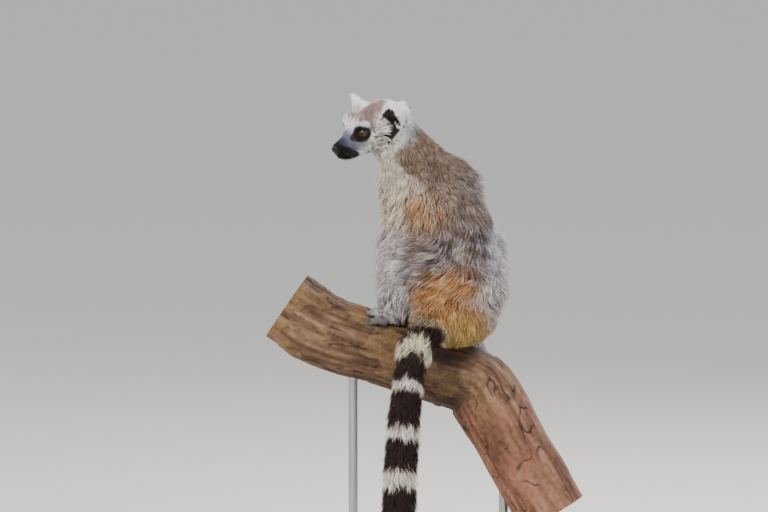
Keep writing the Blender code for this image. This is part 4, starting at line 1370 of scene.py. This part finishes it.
LENGTH_SPREAD, LIFT_SPREAD, WIDTH_SPREAD = (0.75, 1.15), (0.72, 1.08), (0.75, 1.25)  # from tuft to tuft
LOCK_TURN, TUFT_TURN = 0.16, 0.14  # radians off the lie of the coat
TUFT_TONE = 0.08
RING_SHARES = {2: (0.0, 0.52, 1.0), 3: (0.0, 0.36, 0.70, 1.0)}  # how far along the tuft each ring and the tip are
RING_WIDTHS = {2: (0.75, 1.0), 3: (0.7, 1.0, 0.75)}
ROOT_DEPTH = 0.0004
TUFT_HEIGHT = 0.7  # of half its width
MAP_PATCH = 0.0015


def grow_coat(name, count, rings, drawn, lock, wool, slot, seed):
    """Grows one piece of the coat over its share of the hide, as one mesh."""
    random = np.random.default_rng(seed)
    chosen = piece_names == name
    members = np.nonzero(chosen)[0]
    pull = areas[members] * density[triangles[members]].mean(axis=1)
    steps = np.cumsum(pull) / pull.sum()
    picked = np.searchsorted(steps, (np.arange(count) + random.random(count)) / count)
    picked = np.minimum(picked, len(members) - 1)
    share = random.dirichlet((1.0, 1.0, 1.0), count)
    map_corners = unwrapped(chosen)[picked]
    root_map = (map_corners * share[:, :, None]).sum(axis=1)
    picked = members[picked]
    root = at_roots(points, picked, share)
    out = unit_rows(at_roots(hide_normals, picked, share))
    way = at_roots(flow, picked, share)
    length, width, lift = (at_roots(hair, picked, share) / 1000).T
    length = length * random.uniform(*LENGTH_SPREAD, count)
    lift = lift * random.uniform(*LIFT_SPREAD, count)
    width = width * random.uniform(*WIDTH_SPREAD, count)

    # Locks: each root joins the nearest of a looser set of roots, and the tips are drawn towards it.
    cell = np.floor(root / lock).astype(np.int64)
    _, leaders = np.unique(cell, axis=0, return_index=True)
    leader_tree = KDTree(len(leaders))
    for index, place in enumerate(root[leaders].tolist()):
        leader_tree.insert(place, index)
    leader_tree.balance()
    lock_of = np.array([leader_tree.find(place)[1] for place in root.tolist()])
    lock_turn = random.normal(0.0, LOCK_TURN, len(leaders))[lock_of]
    lock_tone = random.normal(0.0, 1.0, len(leaders))[lock_of]
    lift *= np.clip(1 + wool * 1.3 * random.normal(0.0, 1.0, len(leaders))[lock_of], 0.6, 1.35)
    turn = lock_turn + random.normal(0.0, TUFT_TURN, count)
    way = way * np.cos(turn)[:, None] + np.cross(out, way) * np.sin(turn)[:, None]
    to_leader = root[leaders][lock_of] - root

    # Each tuft: rings of three points at their places along the hair, laid on the body in turn, then the tip.
    shares = RING_SHARES[rings]
    centres = []
    sides = []
    outs = []
    place, out_here = root, out
    for step, share_here in enumerate(shares):
        if step:
            gone = share_here - shares[step - 1]
            place = place + way * (length * gone)[:, None]
            place, out_here = onto_hide(place)
            way = unit_rows(laid_down(way, out_here))
        rise = lift * (1 - (1 - share_here) ** 1.8) - ROOT_DEPTH * (step == 0)
        pulled = place + to_leader * (drawn * share_here**1.3)
        centres.append(pulled + out_here * rise[:, None])
        sides.append(np.cross(out_here, way))
        outs.append(out_here)
    pieces = []
    for step in range(rings):
        half = (width * 0.5 * RING_WIDTHS[rings][step])[:, None]
        pieces.append(centres[step] - sides[step] * half)
        pieces.append(centres[step] + sides[step] * half)
        pieces.append(centres[step] + outs[step] * half * TUFT_HEIGHT)
    pieces.append(centres[rings])
    per_tuft = 3 * rings + 1
    tuft_points = np.stack(pieces, axis=1).reshape(-1, 3)
    pattern = [(0, 1, 2)]
    for ring in range(rings - 1):
        base = 3 * ring
        for corner in range(3):
            a, b = base + corner, base + (corner + 1) % 3
            pattern += [(a, a + 3, b), (b, a + 3, b + 3)]
    base = 3 * (rings - 1)
    pattern += [(base + corner, 3 * rings, base + (corner + 1) % 3) for corner in range(3)]
    pattern = np.array(pattern)
    corners = (pattern[None] + (np.arange(count) * per_tuft)[:, None, None]).reshape(-1)
    mesh = mesh_from_arrays(f"coat_{name}", tuft_points, corners, [3] * (len(corners) // 3))

    # Colour, one for each tuft, from the markings where its outer part shows.
    shown = (centres[-2] + centres[-1]) / 2
    weights = at_roots(rows, picked, share)
    colours = coat_colours(shown, weights)
    tone = 1 + wool * lock_tone + random.normal(0.0, TUFT_TONE, count)
    colours = np.clip(colours * np.clip(tone, 0.65, 1.4)[:, None], 0, 1)
    colours = np.concatenate([colours, np.ones((count, 1))], axis=1)
    set_attribute(mesh, "marking_and_shade", "FLOAT_COLOR", np.repeat(colours, per_tuft, axis=0))
    along = np.repeat(np.array(shares), [3] * rings + [1])
    root_shade_cut = 0.40 if slot == "coat_white" else 0.0  # the short white hair gets less of the painted root shade
    set_attribute(mesh, "along_hair", "FLOAT", np.tile(root_shade_cut + (1 - root_shade_cut) * along, count))

    # Map: a patch three thousandths across for each tuft, at its root's place on the hide's own unwrap.
    across = np.array([-1.0, 1.0, 0.0] * rings + [0.0])
    patch = np.stack([across * (1 - 0.5 * along), along * 2 - 1], axis=1) * MAP_PATCH
    places = root_map[:, None] + patch[None]
    layer = mesh.uv_layers.new(name="OFBake")
    layer.data.foreach_set("uv", places.reshape(-1, 2)[corners].astype(np.float32).ravel())
    mesh.materials.append(fur_material)
    add_piece(f"coat_{name}", mesh)


for number, (name, sizes) in enumerate(COATS.items()):
    grow_coat(name, *sizes, seed=500 + number)

# Eyes. Each is one wet ball with the clear cornea swelling over an amber-brown iris and a small black pupil.
# It sits in the socket behind the lids, and only the front of it shows.

EYE_ROWS = 40
EYE_SEGMENTS = 56
CORNEA_SWELL = 0.75
CORNEA_NARROWING = 2.05  # the swelling ends at 90 degrees over this, off the line of sight
SPOKES = (9, 23)  # the two counts of pale rays in the iris

# Wet eye: a brown iris with a dark rim round a small pupil, under a clear coat that is always wet. The stops are
# angles off the line of sight, in quarter turns: the pupil ends at 0.13 and the iris at 0.36.
tree, wet_eye = new_material("wet_eye")
off_sight = node(tree, "Attribute", attribute_name="off_sight")
spokes = node(tree, "Attribute", attribute_name="iris_spokes")
iris_rings = node(
    tree,
    "ValToRGB",
    {"Fac": off_sight.outputs["Fac"]},
    stops=(
        (0.0, "#050404"),
        (0.118, "#050404"),
        (0.145, "#241410"),
        (0.220, "#4A2E24"),
        (0.330, "#40271E"),
        (0.385, "#140B08"),
        (0.450, "#120B09"),
    ),
)
spoke_tone = node(tree, "MapRange", {"Value": spokes.outputs["Fac"], "To Min": 0.7, "To Max": 1.25})
iris_colour = node(
    tree,
    "Mix",
    {"Factor": 1.0, "A": iris_rings.outputs["Color"], "B": spoke_tone.outputs["Result"]},
    data_type="RGBA",
    blend_type="MULTIPLY",
)
shader = node(
    tree,
    "BsdfPrincipled",
    {
        "Base Color": iris_colour.outputs["Result"],
        "Roughness": 0.5,
        "Specular IOR Level": 0.1,
        "Coat Weight": 0.8,
        "Coat Roughness": 0.03,
        "Coat IOR": 1.38,
    },
)
node(tree, "OutputMaterial", {"Surface": shader.outputs["BSDF"]})

for side, side_name in ((1, "left"), (-1, "right")):
    shape = bmesh.new()
    bmesh.ops.create_uvsphere(shape, u_segments=EYE_SEGMENTS, v_segments=EYE_ROWS, radius=EYE_RADIUS)
    sight = Vector(sight_line(side).tolist()).normalized()
    to_sight = sight.to_track_quat("Z", "Y").to_matrix().to_4x4()
    off = []
    rays = []
    for vert in shape.verts:
        angle = math.degrees(vert.co.angle(Vector((0, 0, 1))))
        bulge = max(0.0, math.cos(math.radians(min(90.0, angle * CORNEA_NARROWING))))
        swell = CORNEA_SWELL * bulge**1.3
        off.append(angle / 90.0)
        around = math.atan2(vert.co.y, vert.co.x)
        rays.append(0.5 + 0.25 * math.sin(SPOKES[0] * around + side) + 0.25 * math.sin(SPOKES[1] * around))
        vert.co += vert.co.normalized() * swell
    into_head = Matrix.Translation(Vector(eye_centre(side).tolist())) @ to_sight
    shape.transform(head_frame @ Matrix.Scale(0.001, 4) @ into_head)
    ball = bpy.data.meshes.new(f"eyeball_{side_name}")
    shape.to_mesh(ball)
    shape.free()
    set_attribute(ball, "off_sight", "FLOAT", off)
    set_attribute(ball, "iris_spokes", "FLOAT", rays)
    ball.shade_smooth()
    ball.materials.append(wet_eye)
    eyeball = add_piece(f"eyeball_{side_name}", ball)
    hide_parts(f"eye_{side_name}")

# Nails. Small flat dark nails lie on the tips of the fingers and toes, set into the skin by their root. The
# second toe has an upright claw for grooming.


FINGER_NAIL = (0.0026, 0.0017, 0.0008)  # half its length, width and thickness, as for the others
THUMB_NAIL = (0.0026, 0.0018, 0.0008)
TOE_NAIL = (0.0028, 0.0019, 0.0009)
GROOMING_CLAW = (0.0034, 0.0009, 0.0009)
FINGER_MIDDLE, THUMB_MIDDLE = 0.0042, 0.0046  # how high a finger's middle lies over the bark
FINGER_INSET, TOE_INSET = 0.0022, 0.0024
HANDS = ((-1, -0.036), (1, 0.0))  # the side that the fingers spread to, and the hand's x
FINGER_REACH = (94, 104, 108, 100)  # how far each finger reaches round the branch, in degrees from its top
FEET = (  # x and angle of the ball of the foot, of the ends of the four toes, and of the end of the big toe
    ((-0.070, -28), ((-0.091, -47), (-0.093, -28), (-0.086, -8), (-0.077, 12)), (-0.068, 40)),
    ((0.035, 58), ((0.049, 88), (0.042, 100), (0.035, 104), (0.028, 96)), (0.051, 54)),
)


def add_nail(shape, tip, along, out, size):
    """A flattened egg on the back of a fingertip, pointing along the finger."""
    side = out.cross(along).normalized()
    axes = Matrix((along, side, out)).transposed().to_4x4()
    place = Matrix.Translation(tip) @ axes @ Matrix.Diagonal((*size, 1.0))
    bmesh.ops.create_uvsphere(shape, u_segments=12, v_segments=8, radius=1.0, matrix=place)


def nail_seat(tip_at, knuckle_at, height, inset):
    """A place on the skin a little short of a finger's end, the way the finger runs, and the way out of the skin.

    The tip and the knuckle are given as x and angle round the branch. The end is found by feeling for the skin
    from above, ever further back along the finger.
    """
    tip, _, out = on_branch(*tip_at, height)
    run = tip - on_branch(*knuckle_at, height)[0]
    run = (run - out * run.dot(out)).normalized()
    spot, way = tip, out
    for step in range(30):
        start = tip + run * (0.006 - 0.0005 * step) + out * 0.012
        if hide_tree.ray_cast(start, -out, 0.0145)[0] is not None:
            found, normal, _, _ = hide_tree.ray_cast(start - run * inset, -out, 0.020)
            if found is not None:
                spot, way = found, (normal + out).normalized()
                break
    return spot, (run - way * run.dot(way)).normalized(), way


nail_shape = bmesh.new()
for side, x in HANDS:
    for finger, reach in enumerate(FINGER_REACH):
        spread = side * (-0.0115 + 0.0082 * finger)
        seat = nail_seat((x + spread * 1.25, reach), (x + spread, reach - 12), FINGER_MIDDLE, FINGER_INSET)
        add_nail(nail_shape, *seat, FINGER_NAIL)
    seat = nail_seat((x - side * 0.0135, 64), (x - side * 0.006, 42), THUMB_MIDDLE, FINGER_INSET)
    add_nail(nail_shape, *seat, THUMB_NAIL)
for ball, toes, big_toe in FEET:
    for number, toe in enumerate((*toes, big_toe)):
        spot, run, out = nail_seat(toe, ball, FINGER_MIDDLE, TOE_INSET)
        if number == 1:
            claw = (run + out * 0.9).normalized()
            add_nail(nail_shape, spot + claw * 0.0016, claw, (out - run * 0.9).normalized(), GROOMING_CLAW)
        else:
            add_nail(nail_shape, spot + out * 0.0002, run, out, TOE_NAIL)
nail_mesh = bpy.data.meshes.new("nails")
nail_shape.to_mesh(nail_mesh)
nail_shape.free()
nail_mesh.shade_smooth()
add_piece("nails", nail_mesh)

# Nail horn: dark grey keratin, worn to a soft shine.
tree, nail_horn = new_material("nail_horn")
shader = node(tree, "BsdfPrincipled", {"Base Color": linear("#3A3534"), "Roughness": 0.38})
node(tree, "OutputMaterial", {"Surface": shader.outputs["BSDF"]})
nail_mesh.materials.append(nail_horn)

# Whiskers. Stiff dark hairs stand out of the muzzle in rows, with a few over each eye.

WHISKERS, MUZZLE_WHISKERS = 14, 11  # on each side: all of them, and those that stand on the muzzle
WHISKER_THICKNESS, WHISKER_POINT = 0.00022, 0.00003
WHISKER_STEPS = 4
whisker_shape = bmesh.new()
chooser = np.random.default_rng(77)
for side in (1, -1):
    for number in range(WHISKERS):
        if number < MUZZLE_WHISKERS:
            row, column = divmod(number, 4)
            seed = Vector((54.0 - 3.6 * column, side * 20.0, -7.5 - 2.6 * row))
            lean = Vector((-0.15 - 0.1 * column, side, 0.05 - 0.12 * row)).normalized()
            reach = 17.0 + 3.0 * column
        else:
            seed = Vector((36.0 - 3.5 * (number - MUZZLE_WHISKERS), side * 24.0, 16.0))
            lean = Vector((-0.1, side * 0.7, 0.8)).normalized()
            reach = 16.0
        lean = lean + Vector(chooser.normal(0.0, 0.08, 3).tolist())
        inward = (head_frame.to_3x3() @ Vector((0.0, -side, 0.0))).normalized()
        start, _, _, _ = hide_tree.ray_cast(head_frame @ (seed / 1000), inward)
        if start is None:
            continue
        droop = Vector((-0.25, 0.0, -0.18))
        rings = []
        for step in range(WHISKER_STEPS + 1):
            t = step / WHISKER_STEPS
            bend = lean * (reach * t) + droop * (reach * t * t)
            centre = start + head_frame.to_3x3() @ (bend / 1000)
            thick = WHISKER_THICKNESS * (1 - t) + WHISKER_POINT
            ring = [
                whisker_shape.verts.new(centre + Vector((math.cos(a), math.sin(a), math.cos(a + 1.0))) * thick)
                for a in (0.0, 2.1, 4.2)
            ]
            rings.append(ring)
        for low, high in zip(rings, rings[1:]):
            for corner in range(3):
                following = (corner + 1) % 3
                whisker_shape.faces.new((low[corner], low[following], high[following], high[corner]))
        whisker_shape.faces.new(rings[0][::-1])
        whisker_shape.faces.new(rings[-1])
bmesh.ops.recalc_face_normals(whisker_shape, faces=whisker_shape.faces)
whisker_mesh = bpy.data.meshes.new("whiskers")
whisker_shape.to_mesh(whisker_mesh)
whisker_shape.free()
whisker_mesh.shade_smooth()
add_piece("whiskers", whisker_mesh)

# Whisker hair: black and glossier than the coat.
tree, whisker_hair = new_material("whisker_hair")
shader = node(tree, "BsdfPrincipled", {"Base Color": linear("#1E1A19"), "Roughness": 0.45})
node(tree, "OutputMaterial", {"Surface": shader.outputs["BSDF"]})
whisker_mesh.materials.append(whisker_hair)
